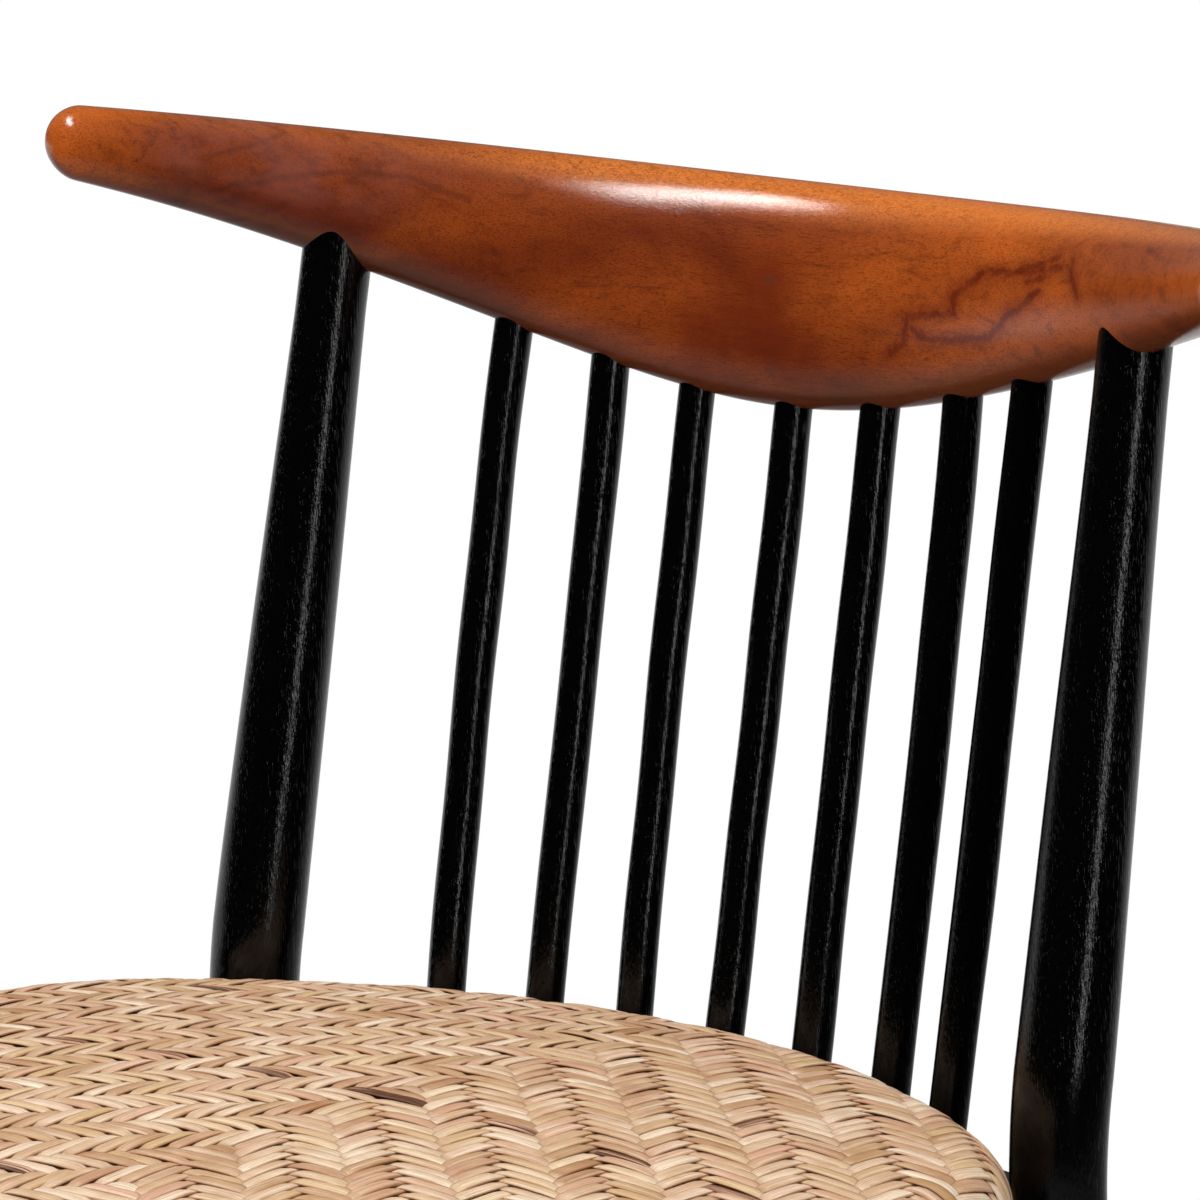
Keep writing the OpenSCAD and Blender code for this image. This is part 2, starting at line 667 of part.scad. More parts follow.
// The padding wraps round the board's edge, so its hollow underneath follows the board
module seat_padding() color(foam) place()
    skin(concat(
        form_down(padding_inset, padding_shares, padding_turns),
        [edge_ring(padding_inset, padding_low_turn),
            flat_ring(board_inset - seat_clear, padding_low),
            flat_ring(board_inset - seat_clear, board_low + board_t + seat_clear)]));

// The cover wraps over the padding and turns in under the board as a hem
module woven_seat_cover() color(straw) place()
    difference() {
        skin(concat(
            form_down(0, outer_shares, outer_turns),
            [flat_ring(hem_w, frame_top_h), flat_ring(hem_w, frame_top_h + cover_t)],
            form_up(cover_t, inner_turns, inner_shares)));
        for (side = sides)
            seat_screw(rear_seat_screw, side, joint_clear, 1);
    }

module side_stretcher(side) color(black) place()
    difference() {
        swelling_bar(stretcher_from(side), stretcher_to(side),
            stretcher_end_d / 2, stretcher_mid_d / 2);
        cross_bore();
    }

module cross_bore() {
    rod([-cross_x - joint_clear, stretcher_mid.y, stretcher_mid.z],
        [cross_x + joint_clear, stretcher_mid.y, stretcher_mid.z],
        cross_end_d / 2 + joint_clear, cross_end_d / 2 + joint_clear);
}

module cross_stretcher() color(black) place()
    swelling_bar([-cross_x, stretcher_mid.y, stretcher_mid.z],
        [cross_x, stretcher_mid.y, stretcher_mid.z], cross_end_d / 2, cross_mid_d / 2);

module rail_dowels() color(raw_wood) place()
    for (side = sides) {
        dowel_set(side_dowels_front, side, 0);
        dowel_set(side_dowels_rear, side, 0);
        dowel_set(front_dowels, side, 0);
        dowel_set(rear_dowels, side, 0);
    }

module corner_block_screws() color(steel) place()
    for (side = sides)
        for (s = concat(front_screws, rear_screws))
            block_screw(s, side, 0, 0);

module seat_screws() color(steel) place()
    for (side = sides) {
        seat_screw(front_seat_screw, side, 0, 0);
        seat_screw(rear_seat_screw, side, 0, 0);
    }

glide_inset = 1.5;
glide_edge = 1;

module foot_glide(p, foot_r, side) color(glide_grey) place() {
    glide_r = foot_r - glide_inset;
    translate([side * p.x, p.y, 0])
        rotate_extrude()
            polygon([[0, 0], [glide_r - glide_edge, 0], [glide_r, glide_edge], [glide_r, glide_t],
                [0, glide_t]]);
    glide_nail(p, side, 0);
}

crest_rail();
rear_leg(-1);  // rear_leg_left
rear_leg(1);  // rear_leg_right
spindle(1);  // spindle_1
spindle(2);  // spindle_2
spindle(3);  // spindle_3
spindle(4);  // spindle_4
spindle(5);  // spindle_5
spindle(6);  // spindle_6
spindle(7);  // spindle_7
front_leg(-1);  // front_leg_left
front_leg(1);  // front_leg_right
rear_seat_rail();
front_seat_rail();
side_seat_rail(-1);  // side_seat_rail_left
side_seat_rail(1);  // side_seat_rail_right
corner_block_front(-1);  // corner_block_front_left
corner_block_front(1);  // corner_block_front_right
corner_block_rear(-1);  // corner_block_rear_left
corner_block_rear(1);  // corner_block_rear_right
seat_board();
seat_padding();
woven_seat_cover();
side_stretcher(-1);  // side_stretcher_left
side_stretcher(1);  // side_stretcher_right
cross_stretcher();
rail_dowels();
corner_block_screws();
seat_screws();
foot_glide(front_axis(glide_t), front_foot_r, -1);  // foot_glide_front_left
foot_glide(front_axis(glide_t), front_foot_r, 1);  // foot_glide_front_right
foot_glide(rear_axis(glide_t), rear_foot_r, -1);  // foot_glide_rear_left
foot_glide(rear_axis(glide_t), rear_foot_r, 1);  // foot_glide_rear_right
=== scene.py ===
import math
from functools import wraps

import bmesh
import bpy
import numpy as np
from bpy.props import FloatProperty, FloatVectorProperty, IntProperty, PointerProperty
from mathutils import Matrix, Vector


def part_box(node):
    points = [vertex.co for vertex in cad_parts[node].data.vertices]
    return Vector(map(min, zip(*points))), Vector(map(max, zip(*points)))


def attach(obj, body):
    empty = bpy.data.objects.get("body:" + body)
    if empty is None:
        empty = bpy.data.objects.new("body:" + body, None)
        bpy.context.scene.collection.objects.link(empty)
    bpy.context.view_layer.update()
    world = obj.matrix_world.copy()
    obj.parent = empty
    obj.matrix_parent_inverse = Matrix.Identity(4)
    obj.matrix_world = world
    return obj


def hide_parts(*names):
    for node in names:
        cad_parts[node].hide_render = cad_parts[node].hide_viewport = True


bl_info = {
    "name": "Rattan dining chair",
    "version": (1, 0, 0),
    "blender": (4, 5, 0),
    "location": "View3D > Sidebar > Chair",
    "description": "Dresses the chair's solids with wood, lacquer and a woven rattan seat",
    "category": "Object",
}

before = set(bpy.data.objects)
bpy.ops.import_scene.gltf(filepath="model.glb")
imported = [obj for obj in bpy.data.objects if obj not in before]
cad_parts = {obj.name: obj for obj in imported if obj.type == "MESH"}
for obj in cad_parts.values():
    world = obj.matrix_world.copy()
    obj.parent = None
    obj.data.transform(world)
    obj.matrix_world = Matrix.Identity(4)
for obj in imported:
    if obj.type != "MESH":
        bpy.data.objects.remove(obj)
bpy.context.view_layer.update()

SPINDLES = 7
# Sideways bow of each hand-made spindle from its straight line: at the head, the middle and the foot, in mm
SPINDLE_BOWS = (
    (2.8, 0.5, 4.0),
    (1.7, 1.6, 1.6),
    (-2.3, -2.5, 0.1),
    (0.2, -0.1, -0.6),
    (0.1, 0.7, 1.3),
    (0.4, 3.3, 2.4),
    (-0.8, -0.5, -1.2),
)
SPINDLE_GIRTHS = (1.03, 1.02, 0.97, 1.01, 1.04, 1.03, 1.02)
# Figure in the crest rail's wood: the points of each drawn line, in mm from the solids' own zero
JAGGED_LINES = (
    ((57, 225, 695), (64, 224, 700), (65, 225, 709), (74, 224, 711), (90, 220, 713), (89, 221, 720),
     (97, 220, 725), (105, 220, 730), (121, 214, 731), (130, 211, 734), (147, 206, 739)),
    ((156, 201, 740), (157, 198, 735), (163, 193, 728)),
    ((128, 211, 732), (140, 207, 734), (150, 203, 737)),
    ((130, 210, 729), (144, 205, 733)),
    ((138, 205, 727), (133, 207, 724), (126, 209, 718), (120, 211, 716), (111, 214, 707), (92, 219, 704),
     (77, 222, 702), (68, 224, 705)),
)
ARCHED_LINES = (
    ((-238, 151, 737), (-213, 163, 744), (-189, 182, 749), (-179, 189, 750), (-158, 202, 748),
     (-134, 211, 740)),
    ((-227, 152, 754), (-211, 170, 759), (-204, 181, 763)),
    ((208, 172, 750), (227, 153, 749), (245, 139, 754)),
    ((210, 163, 733), (228, 150, 741), (254, 123, 744)),
)
RED_PATCH = (((-34, 232, 694), (-15, 233, 699), (-5, 232, 713)), ((-15, 233, 699), (8, 231, 692)))
SMALL_MARKS = (
    (-228, 151, 745), (-241, 146, 740), (-226, 158, 734), (-5, 232, 717), (-2, 230, 683), (137, 206, 705),
)


def length(default, name, description):
    return FloatProperty(
        name=name, description=description, default=default, min=0, unit="LENGTH", precision=4
    )


def angle(degrees, name, description):
    return FloatProperty(
        name=name, description=description, default=math.radians(degrees), subtype="ANGLE", unit="ROTATION"
    )


def colour(red, green, blue, name, description):
    """A colour given as it is seen, out of 255, and kept in linear light."""
    linear = [((c / 255 + 0.055) / 1.055) ** 2.4 if c > 10 else c / 255 / 12.92 for c in (red, green, blue)]
    return FloatVectorProperty(
        name=name, description=description, default=linear, size=3, subtype="COLOR", min=0, max=1
    )


class ChairSizes(bpy.types.PropertyGroup):
    """Sizes of the chair, the same as its solids have."""

    frame_top_h: length(0.405, "Seat frame height", "Height of the top of the seat rails")
    rail_h: length(0.050, "Rail height", "Height of each seat rail")
    rail_t: length(0.024, "Rail thickness", "Thickness of the front and side rails")
    rear_rail_t: length(0.042, "Rear rail thickness", "Thickness of the curved rear rail")
    rear_rail_shift: length(
        0.009, "Rear rail shift", "How far the rear rail lies in front of the middle spindle"
    )
    front_inset: length(0.048, "Front leg inset", "From the seat's front edge to a front leg's axis")
    side_inset: length(0.039, "Side leg inset", "From the seat's side edge to a front leg's axis")
    front_leg_d: length(0.035, "Front leg", "Diameter of a front leg at the seat")
    front_foot_d: length(0.023, "Front foot", "Diameter of a front leg at the floor")
    front_splay_x: length(0.006, "Front splay, sideways", "How far a front foot stands outside its top")
    front_splay_y: length(0.012, "Front splay, forwards", "How far a front foot stands in front of its top")
    rear_leg_d: length(0.035, "Rear leg", "Diameter of a rear leg at the bend")
    rear_foot_d: length(0.025, "Rear foot", "Diameter of a rear leg at the floor")
    post_top_d: length(0.0262, "Post top", "Diameter of an outer post at the crest rail")
    rear_kick: angle(9, "Rear kick", "Backward kick of the rear legs under the seat")
    bend_r: length(0.220, "Bend radius", "Radius of the bend in a rear leg")
    bend_rise: length(0.016, "Bend height", "Height of the bend above the seat rails")
    rake: angle(9.8, "Rake", "Backward lean of the posts and spindles")
    back_rise: length(0.263, "Back height", "From the seat rails to the crest rail's underside")
    back_r: length(0.343, "Back radius", "Plan radius of the curved back")
    post_x: length(0.187, "Post spacing", "From the middle to an outer post at the crest rail")
    leg_spread: angle(0.9, "Leg spread", "Outward lean of the outer posts")
    post_socket: length(0.024, "Post socket", "Depth of a post in the crest rail")
    spindle_d: length(0.0147, "Spindle", "Diameter of a spindle")
    spindle_pitch_top: length(0.0423, "Spindle pitch, top", "Distance between spindles at the crest rail")
    spindle_pitch_foot: length(0.0416, "Spindle pitch, foot", "Distance between spindles at the rear rail")
    spindle_socket: length(0.022, "Spindle socket", "Depth of a spindle in the crest rail")
    foot_socket: length(0.028, "Foot socket", "Depth of a spindle in the rear rail")
    horn_x: length(0.273, "Horn", "From the middle to a horn's tip")
    horn_flare: length(0.0063, "Horn flare", "How far a horn's tip stands outside the back's plan curve")
    crest_h: length(0.0842, "Crest height", "Height of the crest rail in the middle")
    crest_t: length(0.037, "Crest thickness", "Thickness of the crest rail in the middle")
    horn_t: length(0.026, "Horn thickness", "Thickness of the crest rail near a tip")
    top_rise: length(0.0167, "Top rise", "Rise of the top edge from the middle to a tip")
    horn_slope: FloatProperty(
        name="Horn slope", description="Slope of the underside out along a horn", default=0.395
    )
    belly_w: length(0.105, "Belly", "Half width of the round belly under the middle")
    top_skew: FloatProperty(name="Top skew", description="Drop of the hand-shaped top edge", default=0.022)
    seat_gap: length(0.0214, "Seat gap", "From the middle spindle's axis to the seat's rear edge")
    seat_depth: length(0.445, "Seat depth", "Front to back")
    seat_half_w: length(0.242, "Seat half width", "From the middle to a side edge")
    seat_rear_r: length(0.310, "Rear edge radius", "Plan radius of the rear edge")
    seat_front_r: length(0.700, "Front edge radius", "Plan radius of the front edge")
    seat_side_r: length(0.900, "Side edge radius", "Plan radius of the side edges")
    rear_corner_r: length(0.115, "Rear corner radius", "Plan radius of the rear corners")
    front_corner_r: length(0.082, "Front corner radius", "Plan radius of the front corners")
    seat_edge_t: length(0.042, "Seat edge", "Thickness of the seat at its edge")
    seat_crown: length(0.013, "Seat crown", "Height of the seat's crown above its edge")
    cover_t: length(0.0024, "Cover thickness", "Thickness of the woven cover")
    hem_w: length(0.050, "Hem", "Width of the hem under the board")
    warp_pitch: length(0.0062, "Warp pitch", "Distance between the strips that run front to back")
    weft_pitch: length(0.00605, "Weft pitch", "Distance between the strips that run side to side")
    float_count: IntProperty(
        name="Float", description="Strips that each strip passes over, and then under", default=4
    )
    mitre_x: FloatProperty(
        name="Mitre", description="Where the twill changes direction", default=0.031, unit="LENGTH"
    )
    twill_start: FloatProperty(
        name="Twill start", description="Strips that the twill is shifted by", default=2.5
    )
    relief: length(0.00074, "Relief", "Rise and dip of a strip from the middle of the weave")
    strip_t: length(0.0009, "Strip thickness", "Thickness of a rattan strip")
    stretcher_h: length(0.160, "Stretcher height", "Height of the stretchers")
    stretcher_mid_d: length(0.022, "Side stretcher, middle", "Diameter in its middle")
    stretcher_end_d: length(0.014, "Side stretcher, ends", "Diameter at its ends")
    cross_mid_d: length(0.020, "Cross stretcher, middle", "Diameter in its middle")
    cross_end_d: length(0.012, "Cross stretcher, ends", "Diameter at its ends")
    glide_t: length(0.004, "Glide", "Thickness of a foot glide")


class ChairColours(bpy.types.PropertyGroup):
    """Colours of the chair's finishes."""

    stain_dark: colour(88, 28, 6, "Stain, dark", "Deepest part of the crest rail's stain")
    stain_mid: colour(124, 50, 13, "Stain, middle", "The crest rail's stain")
    stain_light: colour(176, 84, 24, "Stain, light", "Lightest part of the crest rail's stain")
    stain_mark: colour(64, 18, 6, "Stain, mark", "Dark figure lines in the crest rail")
    stain_figure: colour(96, 30, 6, "Stain, figure", "Reddish jagged lines in the crest rail")
    # Painted light: the rail's top band is painted lighter in this colour, as light from above makes it
    stain_painted_lit_top: colour(196, 110, 46, "Stain, top", "The crest rail's rubbed top edge")
    # Painted shade: the rail's lower part is darkened and greyed in this colour; the small blemish dots use
    # it too
    stain_shade_and_dots: colour(84, 44, 28, "Stain, low", "The greyed underside of the crest rail")
    haze: colour(146, 92, 80, "Haze", "Milky bloom in the lacquer of one horn")
    black: colour(2, 2, 2, "Black lacquer", "The legs, posts, spindles and rails")
    black_worn: colour(11, 8, 6, "Black lacquer, thin", "Where the wood shows faintly through the black")
    straw_dark: colour(164, 119, 78, "Rattan, tan", "The darkest common strips")
    straw: colour(204, 169, 134, "Rattan, straw", "The common strips")
    straw_yellow: colour(214, 184, 133, "Rattan, yellow", "The yellow strips")
    straw_pale: colour(239, 220, 194, "Rattan, pale", "The palest strips")
    straw_pink: colour(213, 165, 139, "Rattan, pink", "The pinkish strips")
    # Painted shade, laid on a strip's edges, where it is partly the strip's natural darker skin, and where
    # the strip dips under the weave
    straw_skin_and_shade: colour(150, 88, 42, "Rattan, edge", "The warm shadow at a strip's edges")
    straw_streak: colour(92, 54, 32, "Rattan, streak", "Dark streaks and knots in a few strips")
    # Painted light: the sheet under the strips is this bright orange, standing in for the glow of light
    # through the rattan in the weave's shaded gaps
    gap_glow: colour(224, 128, 52, "Weave ground", "What shows in the gaps of the weave")
    raw_wood: colour(206, 172, 124, "Raw wood", "Blocks, dowels and the seat board")
    foam: colour(236, 228, 204, "Foam", "The seat's padding")
    tape: colour(196, 176, 142, "Hem tape", "The tape that closes the cover underneath")
    steel: colour(176, 176, 180, "Steel", "The screws")
    glide: colour(44, 44, 46, "Glide", "The foot glides")
    floor: colour(242, 242, 240, "Floor", "The studio floor")


# Shader helpers


def link(tree, value, socket):
    """Leads a socket's value on to another socket, or sets a plain value on it."""
    if isinstance(value, bpy.types.NodeSocket):
        tree.links.new(value, socket)
    elif socket.type == "RGBA" and len(value) == 3:
        socket.default_value = (*value, 1.0)
    else:
        socket.default_value = value


def shader_node(tree, kind, group=None, **inputs):
    """Adds a node and fills its named sockets."""
    node = tree.nodes.new(kind)
    if group:
        node.node_tree = group
    for name, value in inputs.items():
        link(tree, value, node.inputs[name.replace("_", " ")])
    return node


def use_group(tree, group, **inputs):
    return shader_node(tree, "ShaderNodeGroup", group, **inputs).outputs


def calculated(tree, kind, operation, values):
    """The result of a mathematics node; its values fill the sockets that the operation has."""
    node = tree.nodes.new(kind)
    node.operation = operation
    for socket, value in zip([i for i in node.inputs if i.enabled], values):
        link(tree, value, socket)
    return next(o for o in node.outputs if o.enabled)


def math_node(tree, operation, *values):
    return calculated(tree, "ShaderNodeMath", operation, values)


def vector_math(tree, operation, *values):
    return calculated(tree, "ShaderNodeVectorMath", operation, values)


def product(tree, first, *others):
    for value in others:
        first = math_node(tree, "MULTIPLY", first, value)
    return first


def axes(tree, vector):
    """X, Y and Z of a vector."""
    return list(shader_node(tree, "ShaderNodeSeparateXYZ", Vector=vector).outputs)


def attribute(tree, name):
    node = tree.nodes.new("ShaderNodeAttribute")
    node.attribute_name = name
    return node.outputs["Fac"]


def map_range(tree, value, low, high, to_low=0.0, to_high=1.0, smooth=False):
    node = shader_node(
        tree, "ShaderNodeMapRange", Value=value, From_Min=low, From_Max=high, To_Min=to_low, To_Max=to_high
    )
    node.interpolation_type = "SMOOTHSTEP" if smooth else "LINEAR"
    return node.outputs["Result"]


def mix_colour(tree, share, first, second):
    node = tree.nodes.new("ShaderNodeMix")
    node.data_type = "RGBA"
    for value, socket in zip((share, first, second), [i for i in node.inputs if i.enabled]):
        link(tree, value, socket)
    return next(o for o in node.outputs if o.enabled)


def laid_over(tree, base, *coats):
    """Lays colours over a base one after another, each by its share."""
    for share, colour_over in coats:
        base = mix_colour(tree, share, base, colour_over)
    return base


def stretched(tree, vector, scale, turn=(0.0, 0.0, 0.0), place=(0.0, 0.0, 0.0)):
    node = shader_node(tree, "ShaderNodeMapping", Vector=vector, Scale=scale, Rotation=turn, Location=place)
    return node.outputs["Vector"]


def noise(tree, vector, scale, detail=3.0, roughness=0.5, distortion=0.0, output="Fac"):
    node = shader_node(
        tree, "ShaderNodeTexNoise", Vector=vector, Scale=scale, Detail=detail, Roughness=roughness,
        Distortion=distortion,
    )
    return node.outputs[output]


def new_tree(kind, name, inputs, outputs):
    """An empty node group, the values given to it and the sockets that take its results."""
    tree = bpy.data.node_groups.new(name, kind)
    for way, sockets in (("INPUT", inputs), ("OUTPUT", outputs)):
        for title, value_kind, *default in sockets:
            socket = tree.interface.new_socket(title, in_out=way, socket_type="NodeSocket" + value_kind)
            if default:
                socket.default_value = default[0]
    return tree, tree.nodes.new("NodeGroupInput").outputs, tree.nodes.new("NodeGroupOutput").inputs


def made_once(name):
    """Lets a function that makes a node group run only if there is no group of that name yet."""

    def choose(make):
        @wraps(make)
        def found_or_made():
            return bpy.data.node_groups.get(name) or make(name)

        return found_or_made

    return choose


@made_once("Wood grain")
def grain_group(name):
    """Wood grain along X of the given vector: broad figure, fine fibres and short pores."""
    tree, given, out = new_tree(
        "ShaderNodeTree", name,
        [("Vector", "Vector"), ("Figure Scale", "Float", 9.0), ("Fibre Scale", "Float", 420.0),
         ("Wander", "Float", 0.02)],
        [("Figure", "Float"), ("Fibre", "Float"), ("Pores", "Float")],
    )
    vector, figure_scale, fibre_scale, wander = (given[i] for i in range(4))
    drift = vector_math(tree, "SUBTRACT", noise(tree, vector, 5.0, 2.0, output="Color"), (0.5, 0.5, 0.5))
    bent = vector_math(tree, "ADD", vector, vector_math(tree, "SCALE", drift, wander))
    figure = noise(tree, stretched(tree, bent, (0.22, 1.0, 1.0)), figure_scale, 4.0, 0.55, 0.6)
    fibre = noise(tree, stretched(tree, bent, (0.035, 1.0, 1.0)), fibre_scale, 3.0, 0.65)
    pore_place = stretched(tree, bent, (0.08, 1.0, 1.0), place=(3.1, 1.7, 0.4))
    pores = noise(tree, pore_place, product(tree, fibre_scale, 2.0), 1.0, 0.4)
    link(tree, figure, out["Figure"])
    link(tree, fibre, out["Fibre"])
    link(tree, map_range(tree, pores, 0.62, 0.72), out["Pores"])
    return tree


@made_once("Lacquer smears")
def smear_group(name):
    """Faint smears and specks that break up a lacquer's gloss."""
    tree, given, out = new_tree(
        "ShaderNodeTree", name, [("Vector", "Vector")], [("Smears", "Float"), ("Specks", "Float")]
    )
    vector = given[0]
    link(tree, map_range(tree, noise(tree, vector, 28.0, 4.0, 0.6, 0.4), 0.35, 0.7), out["Smears"])
    link(tree, map_range(tree, noise(tree, vector, 900.0, 2.0, 0.5), 0.66, 0.74), out["Specks"])
    return tree


@made_once("Line distance")
def line_group(name):
    """Distance of the given vector from a straight line between two points."""
    tree, given, out = new_tree(
        "ShaderNodeTree", name,
        [("Vector", "Vector"), ("Start", "Vector"), ("Run", "Vector")], [("Distance", "Float")],
    )
    vector, start, run = (given[i] for i in range(3))
    away = vector_math(tree, "SUBTRACT", vector, start)
    along, whole = (vector_math(tree, "DOT_PRODUCT", way, run) for way in (away, run))
    share = math_node(tree, "DIVIDE", along, whole)
    held = shader_node(tree, "ShaderNodeClamp", Value=share).outputs[0]
    link(tree, vector_math(tree, "DISTANCE", away, vector_math(tree, "SCALE", run, held)), out["Distance"])
    return tree


def nearest_line(tree, vector, lines):
    """Distance of the vector from the nearest of the drawn lines, given in mm."""
    found = None
    for points in lines:
        for start, end in zip(points, points[1:]):
            apart = use_group(
                tree, line_group(), Vector=vector, Start=[v / 1000 for v in start],
                Run=[(b - a) / 1000 for a, b in zip(start, end)],
            )[0]
            found = apart if found is None else math_node(tree, "MINIMUM", found, apart)
    return found


def shaken(tree, vector, scale, size):
    """The vector moved about by noise, so that what is drawn on it is uneven."""
    drift = noise(tree, vector, scale, 3.0, 0.6, output="Color")
    moved = vector_math(tree, "MULTIPLY_ADD", drift, (2 * size,) * 3, vector)
    return vector_math(tree, "SUBTRACT", moved, (size,) * 3)


def bump(tree, height, strength, distance, **normal):
    return shader_node(
        tree, "ShaderNodeBump", Height=height, Strength=strength, Distance=distance, **normal
    ).outputs["Normal"]


# Finishes


def new_material(name):
    """A material with a bare Principled shader; returns it, its tree, the shader and the object's place."""
    material = bpy.data.materials.new(name)
    material.use_nodes = True
    tree = material.node_tree
    tree.nodes.clear()
    shader = tree.nodes.new("ShaderNodeBsdfPrincipled")
    shader_node(tree, "ShaderNodeOutputMaterial", Surface=shader.outputs[0])
    return material, tree, shader, tree.nodes.new("ShaderNodeTexCoord").outputs["Object"]


def dress(tree, shader, base, roughness, normal):
    """Gives a shader its colour, roughness and relief."""
    for name, value in (("Base Color", base), ("Roughness", roughness), ("Normal", normal)):
        link(tree, value, shader.inputs[name])


def stained_wood(c):
    """Glossy lacquer over stained wood with a cloudy figure, growth lines and a jagged spalt line; its top is
    painted lighter, as light from above makes it, and its underside is painted with shade.
    """
    material, tree, shader, vector = new_material("stained_crest_wood")
    x = axes(tree, vector)[0]
    up = attribute(tree, "rail_height")
    grain = use_group(tree, grain_group(), Vector=vector, Figure_Scale=11.0, Fibre_Scale=620.0, Wander=0.05)
    clouds = noise(tree, stretched(tree, vector, (0.7, 1.0, 1.3)), 13.0, 4.0, 0.55, 0.8)
    lighter_right = map_range(tree, x, -0.05, 0.10, 0.0, 0.62, smooth=True)
    lighter_tip = map_range(tree, x, -0.228, -0.262, 0.0, 0.75, smooth=True)
    light = math_node(
        tree, "ADD", map_range(tree, clouds, 0.32, 0.7, -0.12, 0.5),
        math_node(tree, "ADD", lighter_right, lighter_tip),
    )
    light = shader_node(tree, "ShaderNodeClamp", Value=light).outputs[0]
    streak_place = stretched(tree, vector, (0.12, 1.0, 1.0), turn=(0.0, -0.07, 0.0))
    streaks = noise(tree, streak_place, 150.0, 4.0, 0.65, 1.2)
    flecks = noise(tree, stretched(tree, vector, (0.3, 1.0, 1.0)), 2300.0, 2.0, 0.6)
    dashes = noise(tree, stretched(tree, vector, (0.07, 1.0, 1.0)), 2100.0, 1.0, 0.4)
    # Painted shade: the lower part of the rail's section, broken up by the clouds, is painted darker and
    # greyer
    underside = math_node(tree, "ADD", up, math_node(tree, "MULTIPLY", clouds, 0.3))
    curl_place = stretched(tree, vector, (0.5, 1.0, 1.0), turn=(0.0, 0.5, 0.0))
    curl = noise(tree, curl_place, 620.0, 3.0, 0.6, 2.5)
    # Painted light: the top of the rail's section is painted lighter, as light from above makes it; curl
    # figure breaks it up and it fades out along the left horn
    painted_lit = product(
        tree, map_range(tree, up, 0.62, 0.93, smooth=True), map_range(tree, curl, 0.36, 0.58, 0.3, 1.0),
        map_range(tree, x, -0.19, -0.07, 0.25, 1.0, smooth=True),
    )
    uneven = shaken(tree, vector, 260.0, 0.0022)
    smudge = map_range(tree, noise(tree, vector, 90.0, 3.0, 0.6), 0.35, 0.6, 0.5, 1.0)
    jagged = nearest_line(tree, uneven, JAGGED_LINES)
    shade = product(tree, map_range(tree, jagged, 0.007, 0.0005, 0.0, 0.6, smooth=True), smudge)
    core = product(tree, map_range(tree, jagged, 0.0021, 0.0005, 0.0, 0.9, smooth=True), smudge)
    arched = nearest_line(tree, shaken(tree, vector, 60.0, 0.002), ARCHED_LINES)
    patch = nearest_line(tree, shaken(tree, vector, 70.0, 0.005), RED_PATCH)
    patch = product(tree, map_range(tree, patch, 0.024, 0.003, 0.0, 0.75, smooth=True), smudge)
    dots = nearest_line(tree, uneven, [(p, (p[0] + 1, p[1], p[2])) for p in SMALL_MARKS])
    slant_place = stretched(tree, vector, (0.07, 1.0, 1.0), turn=(0.0, 0.36, 0.0))
    slant = noise(tree, slant_place, 210.0, 3.0, 0.6, 0.12)
    left_horn = map_range(tree, x, -0.12, -0.2, smooth=True)
    hatch = product(
        tree, left_horn, map_range(tree, x, -0.262, -0.235, smooth=True),
        map_range(tree, slant, 0.5, 0.64, 0.0, 0.5),
    )
    mist = noise(tree, stretched(tree, vector, (0.5, 1.0, 1.0)), 60.0, 4.0, 0.6)
    bloom = product(
        tree, left_horn, map_range(tree, up, -0.55, 0.1, 0.0, 1.0, smooth=True),
        map_range(tree, mist, 0.38, 0.62, 0.06, 0.26), map_range(tree, x, -0.25, -0.225, smooth=True),
    )
    base = laid_over(
        tree, mix_colour(tree, light, c.stain_dark, c.stain_light),
        (map_range(tree, grain["Figure"], 0.42, 0.62, 0.0, 0.35), c.stain_mid),
        (map_range(tree, streaks, 0.5, 0.7, 0.0, 0.45), c.stain_mark),
        (map_range(tree, flecks, 0.5, 0.66, 0.0, 0.5), c.stain_mark),
        (map_range(tree, dashes, 0.6, 0.68, 0.0, 0.42), c.stain_mark),
        (product(tree, grain["Pores"], 0.25), c.stain_mark),
        # Painted shade on the rail's lower part, then painted light on its top band
        (map_range(tree, underside, -0.45, -0.75, 0.0, 0.7), c.stain_shade_and_dots),
        (painted_lit, c.stain_painted_lit_top), (shade, c.stain_figure), (core, c.stain_figure),
        (product(tree, core, 0.2), c.stain_mark),
        (map_range(tree, arched, 0.002, 0.0003, 0.0, 0.5), c.stain_mark),
        (patch, c.stain_figure),
        (map_range(tree, dots, 0.003, 0.0008, 0.0, 0.6), c.stain_shade_and_dots),
        (hatch, c.stain_mark), (bloom, c.haze),
    )
    smears = use_group(tree, smear_group(), Vector=vector)
    sanded = bump(tree, flecks, 0.5, 0.00012)
    dress(
        tree, shader, base, map_range(tree, smears["Smears"], 0.0, 1.0, 0.4, 0.5),
        bump(tree, grain["Fibre"], 0.25, 0.0002, Normal=sanded),
    )
    link(tree, sanded, shader.inputs["Coat Normal"])
    shader.inputs["Specular IOR Level"].default_value = 0.06
    shader.inputs["Coat Weight"].default_value = 0.9
    shader.inputs["Coat Roughness"].default_value = 0.07
    return material


